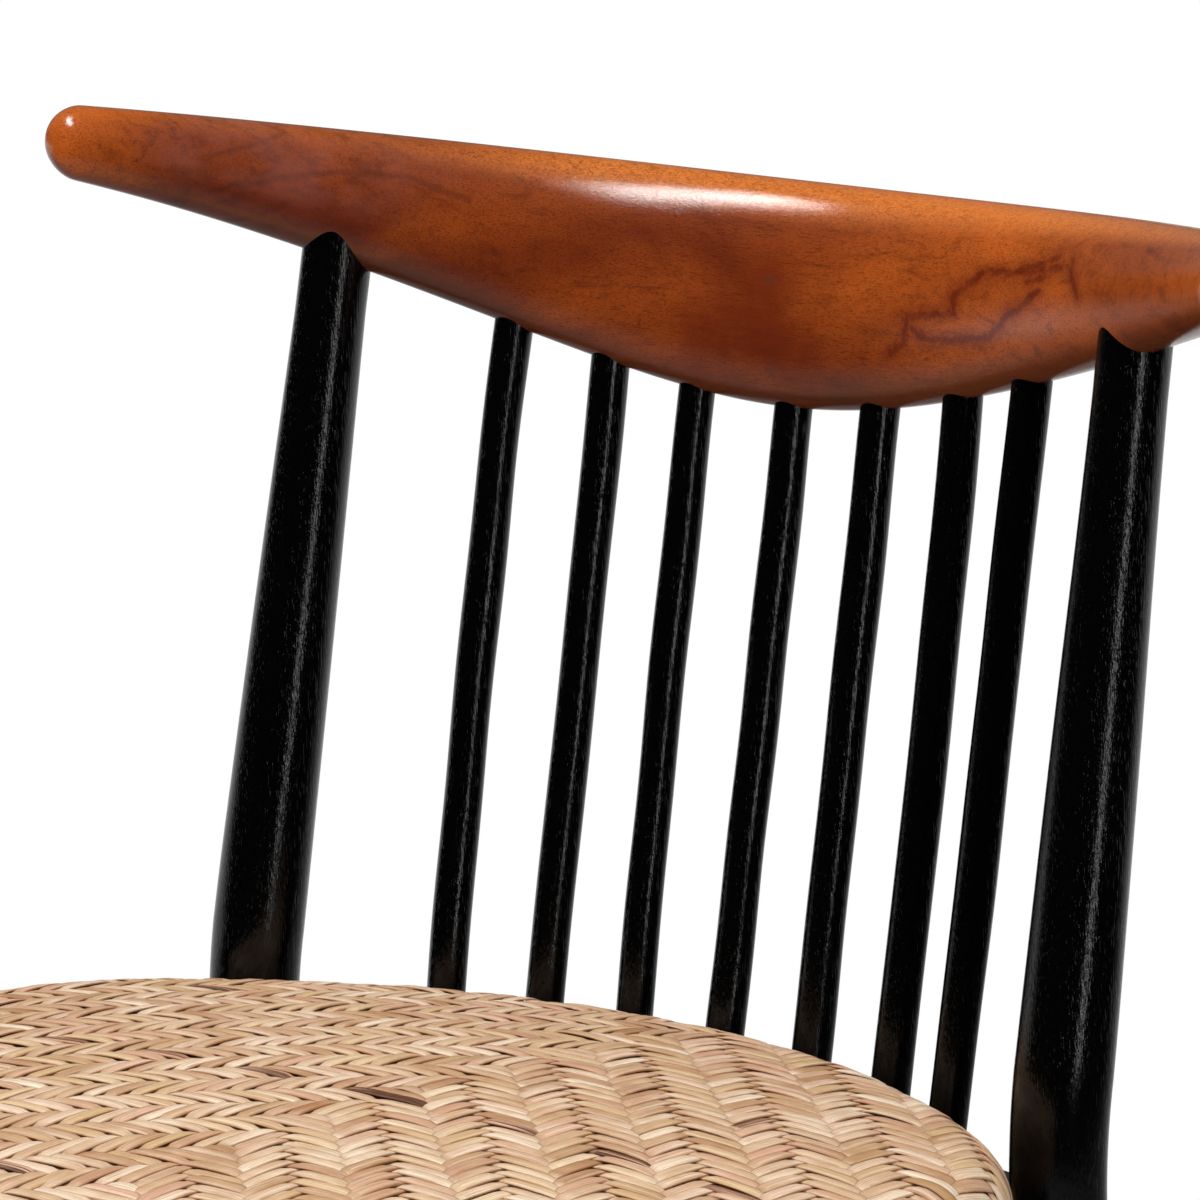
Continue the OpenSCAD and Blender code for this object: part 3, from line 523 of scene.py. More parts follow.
def black_wood(c):
    """Thin black lacquer whose gloss is broken up by the grain under it."""
    material, tree, shader, vector = new_material("black_lacquered_wood")
    upright = stretched(tree, vector, (1.0, 1.0, 1.0), turn=(0.0, math.pi / 2, 0.0))
    grain = use_group(tree, grain_group(), Vector=upright, Figure_Scale=24.0, Fibre_Scale=900.0, Wander=0.01)
    worn = product(
        tree, map_range(tree, grain["Figure"], 0.5, 0.75), map_range(tree, grain["Fibre"], 0.5, 0.8), 0.6
    )
    smears = use_group(tree, smear_group(), Vector=vector)
    roughness = math_node(
        tree, "ADD", map_range(tree, smears["Smears"], 0.0, 1.0, 0.11, 0.16),
        product(tree, smears["Specks"], 0.25),
    )
    flecks = noise(tree, stretched(tree, vector, (1.0, 1.0, 0.13)), 1500.0, 2.0, 0.5)
    height = math_node(tree, "SUBTRACT", flecks, product(tree, grain["Pores"], 0.6))
    base = mix_colour(tree, worn, c.black, c.black_worn)
    dress(tree, shader, base, roughness, bump(tree, height, 0.55, 0.00018))
    shader.inputs["Specular IOR Level"].default_value = 0.3
    return material


def darker(tint, share):
    return tuple(v * share for v in tint)


def raw_wood(c):
    """Planed beech of the blocks and dowels, and the board's face."""
    material, tree, shader, vector = new_material("raw_beech")
    grain = use_group(tree, grain_group(), Vector=vector, Figure_Scale=16.0, Fibre_Scale=480.0, Wander=0.02)
    dark = darker(c.raw_wood, 0.62)
    base = laid_over(
        tree, tuple(c.raw_wood), (map_range(tree, grain["Fibre"], 0.4, 0.75, 0.0, 0.6), dark),
        (product(tree, grain["Pores"], 0.5), dark),
    )
    dress(
        tree, shader, base, map_range(tree, grain["Figure"], 0.3, 0.7, 0.6, 0.75),
        bump(tree, grain["Fibre"], 0.4, 0.0002),
    )
    return material


def rattan(c):
    """Split rattan: each strip has its own tone, fine fibres along it, darker edges that are partly its
    natural skin and partly painted shade, and painted shade where it dips under the weave.
    """
    material, tree, shader, vector = new_material("woven_rattan")
    tone, hue, sunk = (attribute(tree, name) for name in ("tone", "hue", "sunk"))
    place = tree.nodes.new("ShaderNodeUVMap")
    place.uv_map = "strip_uv"
    around, along, _ = axes(tree, place.outputs[0])
    across = math_node(tree, "SINE", math_node(tree, "MULTIPLY", around, 2 * math.pi))
    flat = shader_node(
        tree, "ShaderNodeCombineXYZ", X=product(tree, across, 0.003), Y=product(tree, along, 0.03),
        Z=product(tree, tone, 3.0),
    ).outputs[0]
    fibre = noise(tree, flat, 1500.0, 3.0, 0.7)
    broad = noise(tree, flat, 420.0, 2.0, 0.5)
    blotch = noise(tree, vector, 55.0, 3.0, 0.6)
    level = math_node(tree, "ADD", tone, map_range(tree, blotch, 0.3, 0.7, -0.2, 0.2))
    streak = product(tree, map_range(tree, hue, 0.975, 0.99), map_range(tree, broad, 0.42, 0.55))
    base = laid_over(
        tree, mix_colour(tree, map_range(tree, level, 0.05, 0.45), c.straw_dark, c.straw),
        (map_range(tree, level, 0.5, 0.95), c.straw_pale),
        (map_range(tree, hue, 0.55, 0.9, 0.0, 0.75), c.straw_pink),
        (map_range(tree, hue, 0.4, 0.1, 0.0, 0.7), c.straw_yellow),
        (map_range(tree, fibre, 0.44, 0.72, 0.0, 0.85), c.straw_dark),
        (map_range(tree, broad, 0.5, 0.72, 0.0, 0.5), c.straw_pale),
        # A strip's edges: partly its natural darker skin, partly painted shade where strips meet
        (map_range(tree, math_node(tree, "ABSOLUTE", across), 0.88, 1.0, 0.0, 0.6), c.straw_skin_and_shade),
        (streak, c.straw_streak),
        # Painted shade where the strip dips under the weave
        (map_range(tree, sunk, 0.55, 0.95, 0.0, 0.7, smooth=True), c.straw_skin_and_shade),
    )
    dress(tree, shader, base, map_range(tree, fibre, 0.3, 0.7, 0.42, 0.6), bump(tree, fibre, 0.45, 0.0002))
    return material


def close_weave(name, tint, scale):
    """A close weave on Object coordinates, for the sheet under the strips, painted with the glow of light
    through the rattan in the weave's gaps, and for the hem's tape.
    """
    material, tree, shader, vector = new_material(name)
    x, y, _ = axes(tree, vector)
    weave = product(tree, *(math_node(tree, "SINE", product(tree, way, scale)) for way in (x, y)))
    dark = darker(tint, 0.6)
    base = laid_over(
        tree, dark, (map_range(tree, weave, -0.6, 0.8), tuple(tint)),
        (map_range(tree, noise(tree, vector, 60.0, 4.0), 0.35, 0.7, 0.0, 0.5), dark),
    )
    dress(tree, shader, base, map_range(tree, weave, -1.0, 1.0, 0.75, 0.9), bump(tree, weave, 0.6, 0.0003))
    return material


def foam(c):
    """Open-celled foam."""
    material, tree, shader, vector = new_material("seat_foam")
    cells = shader_node(tree, "ShaderNodeTexVoronoi", Vector=vector, Scale=900.0).outputs["Distance"]
    base = mix_colour(tree, map_range(tree, cells, 0.0, 0.6), darker(c.foam, 0.75), c.foam)
    dress(tree, shader, base, 0.92, bump(tree, cells, 0.5, 0.0004))
    return material


def zinc_steel(c):
    """Zinc plate with fine scratches."""
    material, tree, shader, vector = new_material("zinc_plated_steel")
    scratches = noise(tree, stretched(tree, vector, (1.0, 1.0, 0.15)), 1500.0, 3.0, 0.6)
    base = mix_colour(tree, map_range(tree, scratches, 0.35, 0.7), darker(c.steel, 0.7), c.steel)
    roughness = map_range(tree, scratches, 0.3, 0.7, 0.26, 0.42)
    dress(tree, shader, base, roughness, bump(tree, scratches, 0.2, 0.0001))
    shader.inputs["Metallic"].default_value = 1.0
    return material


def moulded_glide(c):
    """Scuffed, finely grained plastic."""
    material, tree, shader, vector = new_material("moulded_glide")
    texture = noise(tree, vector, 2600.0, 2.0, 0.5)
    scuffs = map_range(tree, noise(tree, vector, 160.0, 4.0, 0.7), 0.55, 0.7, 0.0, 0.6)
    dress(
        tree, shader, mix_colour(tree, scuffs, c.glide, tuple(min(1.0, v * 2.6) for v in c.glide)),
        map_range(tree, texture, 0.3, 0.7, 0.5, 0.65), bump(tree, texture, 0.3, 0.0001),
    )
    return material


MAKERS = {
    "stained_crest_wood": stained_wood,
    "black_lacquered_wood": black_wood,
    "raw_beech": raw_wood,
    "woven_rattan": rattan,
    "weave_ground": lambda c: close_weave("weave_ground", c.gap_glow, 1100.0),
    "hem_tape": lambda c: close_weave("hem_tape", c.tape, 3200.0),
    "seat_foam": foam,
    "zinc_plated_steel": zinc_steel,
    "moulded_glide": moulded_glide,
}


def material(name):
    """The named finish, made the first time that it is asked for."""
    return bpy.data.materials.get(name) or MAKERS[name](bpy.context.scene.chair_colours)


# Mesh helpers


def design_offset(s):
    """How far the solids lie behind the design's own zero, the middle spindle at the rail top."""
    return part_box("woven_seat_cover")[0].y + s.seat_gap + s.seat_depth


def placed(points, s):
    return np.asarray(points, float).reshape(-1, 3) + [0.0, design_offset(s), 0.0]


def new_object(name, data):
    obj = bpy.data.objects.new(name, data)
    bpy.context.scene.collection.objects.link(obj)
    return obj


def add_mesh(name, points, faces, finish):
    """A smooth closed piece in the named finish, its faces turned outwards."""
    mesh = bpy.data.meshes.new(name)
    mesh.from_pydata([tuple(p) for p in points], [], faces)
    mesh.polygons.foreach_set("use_smooth", [True] * len(mesh.polygons))
    mesh.materials.append(material(finish))
    obj = new_object(name, mesh)
    return outward(obj)


def finish_piece(obj, *nodes):
    """The piece rides on the chair's one body and stands for its solids."""
    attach(obj, "root")
    if nodes:
        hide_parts(*nodes)
    return obj


def loft_faces(rings, n, caps=True):
    """Faces between rings of n points each, with the end rings closed."""
    faces = []
    for i in range(rings - 1):
        for k in range(n):
            j = (k + 1) % n
            faces.append((i * n + k, (i + 1) * n + k, (i + 1) * n + j, i * n + j))
    if caps:
        faces.append(tuple(range(n)))
        faces.append(tuple((rings - 1) * n + k for k in reversed(range(n))))
    return faces


def outward(obj):
    """Turns the faces of a closed piece outwards."""
    mesh = bmesh.new()
    mesh.from_mesh(obj.data)
    bmesh.ops.recalc_face_normals(mesh, faces=mesh.faces)
    mesh.to_mesh(obj.data)
    mesh.free()
    obj.data.update()
    return obj


def path_object(name, paths, **attributes):
    """Polylines as one mesh of edges, with one value or vector for each point."""
    points, edges = [], []
    for path in paths:
        start = len(points)
        points.extend(tuple(p) for p in path)
        edges.extend((start + i, start + i + 1) for i in range(len(path) - 1))
    mesh = bpy.data.meshes.new(name)
    mesh.from_pydata(points, edges, [])
    for title, values in attributes.items():
        flat = np.asarray(values, np.float32)
        kind, field = ("FLOAT_VECTOR", "vector") if flat.ndim == 2 else ("FLOAT", "value")
        mesh.attributes.new(title, kind, "POINT").data.foreach_set(field, flat.ravel())
    return new_object(name, mesh)


# Geometry Nodes helpers


def geometry_node(tree, kind, settings=None, **inputs):
    """Adds a node with its settings and fills those of its named sockets that are in use."""
    node = tree.nodes.new(kind)
    for name, value in (settings or {}).items():
        setattr(node, name, value)
    for name, value in inputs.items():
        link(tree, value, next(i for i in node.inputs if i.name == name.replace("_", " ") and i.enabled))
    return node


def point_value(tree, title, kind="FLOAT"):
    node = geometry_node(tree, "GeometryNodeInputNamedAttribute", {"data_type": kind}, Name=title)
    return next(o for o in node.outputs if o.name == "Attribute" and o.enabled)


def stored(tree, geometry, name, value, kind="FLOAT", domain="POINT"):
    """Stores a value under a name on each point or corner."""
    return geometry_node(
        tree, "GeometryNodeStoreNamedAttribute", {"data_type": kind, "domain": domain}, Geometry=geometry,
        Name=name, Value=value,
    ).outputs[0]


def end_tree(tree, geometry, finish, out):
    """Smooth shading, Realize Instances and Set Material close every tree."""
    smooth = geometry_node(tree, "GeometryNodeSetShadeSmooth", Geometry=geometry)
    real = geometry_node(tree, "GeometryNodeRealizeInstances", Geometry=smooth.outputs[0])
    done = geometry_node(tree, "GeometryNodeSetMaterial", Geometry=real.outputs[0], Material=finish)
    link(tree, done.outputs[0], out[0])


def geometry_tree(name, *inputs):
    return new_tree(
        "GeometryNodeTree", name, [("Geometry", "Geometry"), *inputs, ("Material", "Material")],
        [("Geometry", "Geometry")],
    )


@made_once("Round bars")
def round_bar_tree(name):
    """Turns each polyline into a round bar whose radius is kept on its points."""
    tree, given, out = geometry_tree(name, ("Sides", "Int", 48))
    curve = geometry_node(tree, "GeometryNodeMeshToCurve", Mesh=given["Geometry"])
    profile = geometry_node(tree, "GeometryNodeCurvePrimitiveCircle", Resolution=given["Sides"], Radius=1.0)
    bar = geometry_node(
        tree, "GeometryNodeCurveToMesh", Curve=curve.outputs[0], Profile_Curve=profile.outputs[0],
        Scale=point_value(tree, "bar_radius"), Fill_Caps=True,
    )
    end_tree(tree, bar.outputs[0], given["Material"], out)
    return tree


@made_once("Woven strips")
def woven_strip_tree(name):
    """Sweeps a flat lens-shaped strip along each polyline, lying as the kept normal says."""
    tree, given, out = geometry_tree(name, ("Thickness Share", "Float", 0.3), ("Profile Points", "Int", 8))
    curve = geometry_node(tree, "GeometryNodeMeshToCurve", Mesh=given["Geometry"])
    lying = geometry_node(
        tree, "GeometryNodeSetCurveNormal", {"mode": "FREE"}, Curve=curve.outputs[0],
        Normal=point_value(tree, "lie", "FLOAT_VECTOR"),
    )
    spline = tree.nodes.new("GeometryNodeSplineParameter").outputs
    path = stored(tree, lying.outputs[0], "strip_length", spline["Length"])
    circle = geometry_node(
        tree, "GeometryNodeCurvePrimitiveCircle", Resolution=given["Profile Points"], Radius=1.0
    )
    x, y, _ = axes(tree, tree.nodes.new("GeometryNodeInputPosition").outputs[0])
    fuller = product(
        tree, math_node(tree, "SIGN", x), math_node(tree, "POWER", math_node(tree, "ABSOLUTE", x), 0.5)
    )
    blunt = geometry_node(
        tree, "GeometryNodeSetPosition", Geometry=circle.outputs[0],
        Position=shader_node(tree, "ShaderNodeCombineXYZ", X=fuller, Y=y).outputs[0],
    )
    flat = shader_node(tree, "ShaderNodeCombineXYZ", X=given["Thickness Share"], Y=1.0, Z=1.0).outputs[0]
    lens = geometry_node(tree, "GeometryNodeTransform", Geometry=blunt.outputs[0], Scale=flat)
    section = stored(tree, lens.outputs[0], "strip_around", spline["Factor"])
    strip = geometry_node(
        tree, "GeometryNodeCurveToMesh", Curve=path, Profile_Curve=section,
        Scale=point_value(tree, "half_width"), Fill_Caps=True,
    )
    pair = shader_node(
        tree, "ShaderNodeCombineXYZ", X=point_value(tree, "strip_around"), Y=point_value(tree, "strip_length")
    ).outputs[0]
    mapped = stored(tree, strip.outputs[0], "strip_uv", pair, "FLOAT2", "CORNER")
    end_tree(tree, mapped, given["Material"], out)
    return tree


@made_once("Screws")
def screw_tree(name):
    """Sets one screw on each point, with its head towards the kept direction."""
    tree, given, out = geometry_tree(name, ("Screw", "Object"))
    screw = geometry_node(tree, "GeometryNodeObjectInfo", Object=given["Screw"])
    turn = geometry_node(
        tree, "FunctionNodeAlignRotationToVector", {"axis": "Z"},
        Vector=point_value(tree, "head_way", "FLOAT_VECTOR"),
    )
    screws = geometry_node(
        tree, "GeometryNodeInstanceOnPoints", Points=given["Geometry"], Instance=screw.outputs["Geometry"],
        Rotation=turn.outputs[0],
    )
    end_tree(tree, screws.outputs[0], given["Material"], out)
    return tree


def grown(obj, tree, finish, slot, name, **values):
    """Runs a tree on obj and keeps the result as a plain mesh of its own."""
    modifier = obj.modifiers.new(tree.name, "NODES")
    modifier.node_group = tree
    values["Material"] = material(finish)
    for item in tree.interface.items_tree:
        if item.in_out == "INPUT" and item.name.replace(" ", "_") in values:
            modifier[item.identifier] = values[item.name.replace(" ", "_")]
    bpy.context.view_layer.update()
    evaluated = obj.evaluated_get(bpy.context.evaluated_depsgraph_get())
    mesh = bpy.data.meshes.new_from_object(evaluated)
    bpy.data.objects.remove(obj)
    if not len(mesh.polygons):
        raise RuntimeError(f"{name} came out empty")
    mesh.name = name
    piece = new_object(name, mesh)
    return piece


# The back's plan curve, its lean, and the crest rail

# The crest rail's section is an ellipse with fuller shoulders, of this exponent; 2 is a plain ellipse
CREST_EXPONENT = 2.2


def bow_y(s, x):
    return np.sqrt(s.back_r ** 2 - np.asarray(x) ** 2) - s.back_r


def lean_y(s, z):
    return (z - s.frame_top_h) * math.tan(s.rake)


def crest_z(s):
    return s.frame_top_h + s.back_rise


def smooth_step(t):
    t = np.clip(t, 0, 1)
    return t * t * (3 - 2 * t)


def crest_top(s, x):
    return s.crest_h + s.top_rise * (x / s.horn_x) ** 2 - s.top_skew * x


def crest_low(s, x):
    out = smooth_step(np.abs(x) / s.horn_x)
    return s.horn_slope * (np.sqrt(x * x + s.belly_w ** 2) - s.belly_w) - s.top_skew * x * out


def crest_thick(s, x):
    return s.crest_t + (s.horn_t - s.crest_t) * (np.abs(x) / s.horn_x) ** 1.5


def signed_power(v, power):
    return np.sign(v) * np.abs(v) ** power


def crest_flare(s, x):
    """How far the crest rail stands outside the back's plan curve, beyond the posts."""
    return s.horn_flare * max(0.0, (abs(x) - s.post_x) / (s.horn_x - s.post_x)) ** 2


class CHAIR_OT_crest_rail(bpy.types.Operator):
    """Makes the glossy bull-horn crest rail"""

    bl_idname = "chair.crest_rail"
    bl_label = "Crest rail"

    def execute(self, context):
        s = context.scene.chair_sizes
        body_steps, cap_steps, around = 150, 16, 96
        horn_angle = math.asin(s.horn_x / s.back_r)
        cap_angle = s.horn_t / 2 / s.back_r
        turns = np.linspace(0, math.pi / 2, cap_steps + 1)[1:-1]
        cap = [(horn_angle - cap_angle * (1 - math.sin(t)), math.cos(t)) for t in turns]
        body = [(a, 1.0) for a in np.linspace(cap_angle - horn_angle, horn_angle - cap_angle, body_steps + 1)]
        stations = [(-a, share) for a, share in reversed(cap)] + body + cap
        b = np.linspace(0, 2 * math.pi, around, endpoint=False)
        across, up = (signed_power(v, 2 / CREST_EXPONENT) for v in (np.cos(b), np.sin(b)))
        rings = []
        for a, share in stations:
            x = s.back_r * math.sin(a)
            top, low = crest_top(s, x), crest_low(s, x)
            w = crest_flare(s, x) + crest_thick(s, x) / 2 * share * across
            z = crest_z(s) + (top + low) / 2 + (top - low) / 2 * share * up
            y = bow_y(s, x) + w * math.cos(a) + lean_y(s, z)
            rings.append(np.stack([x + w * math.sin(a), y, z], axis=1))
        obj = add_mesh(
            "crest_rail_wood", placed(np.concatenate(rings), s), loft_faces(len(rings), around),
            "stained_crest_wood",
        )
        heights = obj.data.attributes.new("rail_height", "FLOAT", "POINT")
        heights.data.foreach_set("value", np.tile(up, len(rings)).astype(np.float32))
        finish_piece(obj, "crest_rail")
        return {"FINISHED"}


# Posts, legs, spindles and stretchers

# Length under the crest rail where a post keeps its top diameter
POST_NECK = 0.02
# Each post's swell over its even taper, under the crest rail
POST_SWELLS = ((-1, "left", 0.0007), (1, "right", 0.0004))
# Hand-made waver in the radius of a leg and of a stretcher
LEG_WAVER = 0.00012
STRETCHER_WAVER = 0.0001
# How far a side stretcher ends short of the legs' axes, and the cross stretcher of the side stretchers'
SIDE_SHORT = 0.002
CROSS_SHORT = 0.003
# Length at each end of a stretcher that keeps the end diameter
STRETCHER_PLAIN = 0.03
# How far a front leg's top lies under the top of the rails
LEG_SHORT = 0.001
# Hand-made waver of a spindle's line front to back, and of its girth as a share
SPINDLE_WAVER = 0.00025
SPINDLE_SWELL = 0.012


def post_origin(s):
    z = crest_z(s) + float(crest_low(s, -s.post_x))
    return np.array([s.post_x, float(bow_y(s, s.post_x)) + lean_y(s, z), z])


def leg_point(s, y, z):
    return post_origin(s) + [-z * math.sin(s.leg_spread), y, z * math.cos(s.leg_spread)]


def bend_place(s):
    z = (s.frame_top_h + s.bend_rise - post_origin(s)[2]) / math.cos(s.leg_spread)
    return z * math.tan(s.rake), z


def rear_axis(s, z):
    """Point on a rear leg's lower axis at a height above the floor."""
    y0, z0 = bend_place(s)
    local = (z - post_origin(s)[2]) / math.cos(s.leg_spread)
    return leg_point(s, y0 + (z0 - local) * math.tan(s.rear_kick), local)


def front_axis(s, z):
    t = (s.frame_top_h - z) / s.frame_top_h
    return np.array([
        s.seat_half_w - s.side_inset + s.front_splay_x * t,
        -s.seat_gap - s.seat_depth + s.front_inset - s.front_splay_y * t, z,
    ])


def mirrored(points, side):
    return np.asarray(points) * [side, 1.0, 1.0]


def wobble(seed, count, size):
    """A slow, repeatable hand-made waver along a piece."""
    t = np.linspace(0, 1, count)
    rng = np.random.default_rng(seed)
    phase, speed = rng.uniform(0, 2 * math.pi, 3), rng.uniform(1.0, 4.0, 3)
    return size * sum(np.sin(2 * math.pi * speed[i] * t + phase[i]) / (i + 1) for i in range(3))


def round_bar(node, path, radii, s, sides, foot_z=None):
    """A round member in the place of a node, with a radius for each point of its path."""
    source = path_object(node + "_path", [placed(path, s)], bar_radius=radii)
    obj = grown(
        source, round_bar_tree(), "black_lacquered_wood", "black_wood", node + "_wood", Sides=sides
    )
    if foot_z is not None:
        level_foot(obj, placed(path, s), foot_z)
    return finish_piece(outward(obj), node)


def level_foot(obj, path, foot_z):
    """Cuts a leaning leg's last ring level, so that it stands flat on its glide."""
    end, way = path[-1], path[-2] - path[-1]
    way = way / np.linalg.norm(way)
    for v in obj.data.vertices:
        p = np.array(v.co)
        if abs((p - end) @ way) < 1e-5:
            v.co = p + way * ((foot_z - p[2]) / way[2])


def even(first, last, count):
    t = np.linspace(0, 1, count)[:, None]
    return np.asarray(first) * (1 - t) + np.asarray(last) * t


class CHAIR_OT_rear_legs(bpy.types.Operator):
    """Makes the two outer posts, which bend at the seat and go on down as rear legs"""

    bl_idname = "chair.rear_legs"
    bl_label = "Posts and rear legs"

    def execute(self, context):
        s = context.scene.chair_sizes
        neck_steps, run_steps, bend_steps = 5, 40, 15
        y0, z0 = bend_place(s)
        tangent = s.bend_r * math.tan((s.rake + s.rear_kick) / 2)
        top = np.array([y0 + tangent * math.sin(s.rake), z0 + tangent * math.cos(s.rake)])
        centre = top + s.bend_r * np.array([math.cos(s.rake), -math.sin(s.rake)])
        head, neck = (np.array([z * math.tan(s.rake), z]) for z in (s.post_socket, -POST_NECK))
        turns = np.linspace(s.rake, -s.rear_kick, bend_steps)
        bend = [centre - s.bend_r * np.array([math.cos(a), -math.sin(a)]) for a in turns]
        plane = [*even(head, neck, neck_steps)[:-1], *even(neck, bend[0], run_steps)[:-1], *bend]
        upper = [leg_point(s, p[0], p[1]) for p in plane]
        lower = even(upper[-1], rear_axis(s, s.glide_t), run_steps)[1:]
        path = np.array([*upper, *lower])
        r_top, r_mid, r_foot = s.post_top_d / 2, s.rear_leg_d / 2, s.rear_foot_d / 2
        radii = np.concatenate([
            np.full(neck_steps - 1, r_top), np.linspace(r_top, r_mid, run_steps)[:-1],
            np.full(bend_steps, r_mid), np.linspace(r_mid, r_foot, run_steps)[1:],
        ])
        share = smooth_step(np.clip((path[:, 2] - s.frame_top_h) / s.back_rise, 0, 1.1) * 3)
        for side, name, swell in POST_SWELLS:
            girth = radii + swell * share + wobble(5 + side, len(path), LEG_WAVER)
            line = mirrored(path, side)
            line[:, 0] += side * swell * share
            round_bar(f"rear_leg_{name}", line, girth, s, 72, foot_z=s.glide_t)
        return {"FINISHED"}


class CHAIR_OT_front_legs(bpy.types.Operator):
    """Makes the two tapered front legs"""

    bl_idname = "chair.front_legs"
    bl_label = "Front legs"

    def execute(self, context):
        s = context.scene.chair_sizes
        count = 60
        path = even(front_axis(s, s.frame_top_h - LEG_SHORT), front_axis(s, s.glide_t), count)
        for side, name in ((-1, "left"), (1, "right")):
            radii = np.linspace(s.front_leg_d / 2, s.front_foot_d / 2, count)
            radii = radii + wobble(11 + side, count, LEG_WAVER)
            round_bar(f"front_leg_{name}", mirrored(path, side), radii, s, 64, foot_z=s.glide_t)
        return {"FINISHED"}


def spindle_line(s, i):
    """Foot and head of a spindle's axis."""
    ends = []
    for pitch, z_of in (
        (s.spindle_pitch_foot, lambda x: s.frame_top_h - s.foot_socket),
        (s.spindle_pitch_top, lambda x: crest_z(s) + float(crest_low(s, x)) + s.spindle_socket),
    ):
        x = s.back_r * math.sin((i - (SPINDLES + 1) / 2) * pitch / s.back_r)
        z = z_of(x)
        ends.append(np.array([x, float(bow_y(s, x)) + lean_y(s, z), z]))
    return ends


class CHAIR_OT_spindles(bpy.types.Operator):
    """Makes the seven spindles, each with its own slight bow"""

    bl_idname = "chair.spindles"
    bl_label = "Spindles"

    def execute(self, context):
        s = context.scene.chair_sizes
        count = 48
        t = np.linspace(0, 1, count)
        for i in range(1, SPINDLES + 1):
            head_bow, middle_bow, foot_bow = (v / 1000 for v in SPINDLE_BOWS[i - 1])
            foot, head = spindle_line(s, i)
            path = even(foot, head, count)
            path[:, 0] += foot_bow * (1 - t) * (1 - 2 * t)
            path[:, 0] += 4 * middle_bow * t * (1 - t) + head_bow * t * (2 * t - 1)
            path[:, 1] += wobble(40 + i, count, SPINDLE_WAVER)
            swell = 1 + wobble(60 + i, count, SPINDLE_SWELL)
            radii = s.spindle_d / 2 * SPINDLE_GIRTHS[i - 1] * swell
            round_bar(f"spindle_{i}", path, radii, s, 40)
        return {"FINISHED"}


class CHAIR_OT_stretchers(bpy.types.Operator):
    """Makes the H of round stretchers"""

    bl_idname = "chair.stretchers"
    bl_label = "Stretchers"

    def execute(self, context):
        s = context.scene.chair_sizes
        count = 60
        front, rear = front_axis(s, s.stretcher_h), rear_axis(s, s.stretcher_h)
        along = (rear - front) / np.linalg.norm(rear - front)
        side = np.array([front + along * SIDE_SHORT, rear - along * SIDE_SHORT])
        middle = (front + rear) / 2 - [CROSS_SHORT, 0, 0]
        cross = np.array([mirrored(middle, -1), middle])
        spans = (
            ("side_stretcher_left", mirrored(side, -1), s.stretcher_end_d, s.stretcher_mid_d),
            ("side_stretcher_right", side, s.stretcher_end_d, s.stretcher_mid_d),
            ("cross_stretcher", cross, s.cross_end_d, s.cross_mid_d),
        )
        for seed, (name, ends, end_d, mid_d) in enumerate(spans):
            run = np.linalg.norm(ends[1] - ends[0])
            t = (np.linspace(0, run, count) - STRETCHER_PLAIN) / (run - 2 * STRETCHER_PLAIN)
            t = np.clip(t, 0, 1)
            radii = end_d / 2 + (mid_d - end_d) / 2 * (1 - (2 * t - 1) ** 2)
            radii = radii + wobble(80 + seed, count, STRETCHER_WAVER)
            round_bar(name, even(ends[0], ends[1], count), radii, s, 48)
        return {"FINISHED"}


# The seat frame

# How far a rail ends short of the legs' axes, and the rounding of its edges
RAIL_SHORT = 0.008
RAIL_EDGE_R = 0.0025


def rail_section(width, height, corner, steps=5):
    """A rounded rectangle round zero, anticlockwise."""
    across, up, points = width / 2 - corner, height / 2 - corner, []
    for cx, cy, start in ((1, 1, 0), (-1, 1, 90), (-1, -1, 180), (1, -1, 270)):
        for a in np.radians(np.linspace(start, start + 90, steps)):
            points.append((cx * across + corner * math.cos(a), cy * up + corner * math.sin(a)))
    return np.array(points)


def sweep_rail(node, path, width, s):
    """Sweeps a rail's section along a level path, in the place of a node."""
    z = s.frame_top_h - s.rail_h / 2
    section = rail_section(width, s.rail_h, RAIL_EDGE_R)
    ways = np.gradient(path, axis=0)
    ways /= np.linalg.norm(ways, axis=1)[:, None]
    rings = [
        np.stack([x + section[:, 0] * dy, y - section[:, 0] * dx, z + section[:, 1]], axis=1)
        for (x, y), (dx, dy) in zip(path, ways)
    ]
    obj = add_mesh(
        node + "_wood", placed(np.concatenate(rings), s), loft_faces(len(path), len(section)),
        "black_lacquered_wood",
    )
    return finish_piece(obj, node)


class CHAIR_OT_seat_frame(bpy.types.Operator):
    """Makes the four rails and gives the blocks, dowels and board their wood"""

    bl_idname = "chair.seat_frame"
    bl_label = "Seat frame"

    def execute(self, context):
        s = context.scene.chair_sizes
        mid = s.frame_top_h - s.rail_h / 2
        rear, front = rear_axis(s, mid), front_axis(s, mid)
        end_x = front[0] - RAIL_SHORT
        sweep_rail("front_seat_rail", even((-end_x, front[1]), (end_x, front[1]), 24), s.rail_t, s)
        for side, name in ((-1, "left"), (1, "right")):
            start, end = (np.array([side * p[0], p[1]]) for p in (front, rear))
            way = (end - start) / np.linalg.norm(end - start) * RAIL_SHORT
            sweep_rail(f"side_seat_rail_{name}", even(start + way, end - way, 24), s.rail_t, s)
        sag = -s.rear_rail_shift - rear[1]
        radius = (rear[0] ** 2 + sag ** 2) / (2 * sag)
        reach = math.asin((rear[0] - RAIL_SHORT) / radius)
        turns = np.linspace(-reach, reach, 49)
        path = radius * np.stack([np.sin(turns), np.cos(turns) - 1], axis=1) - [0, s.rear_rail_shift]
        sweep_rail("rear_seat_rail", path, s.rear_rail_t, s)
        for name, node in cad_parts.items():
            block = name.startswith("corner_block_") and not name.endswith("screws")
            if block or name in ("rail_dowels", "seat_board"):
                node.data.materials.clear()
                node.data.materials.append(material("raw_beech"))
        return {"FINISHED"}


# Screws and glides

# How far a glide stands in from the edge of its foot
GLIDE_IN = 0.0015


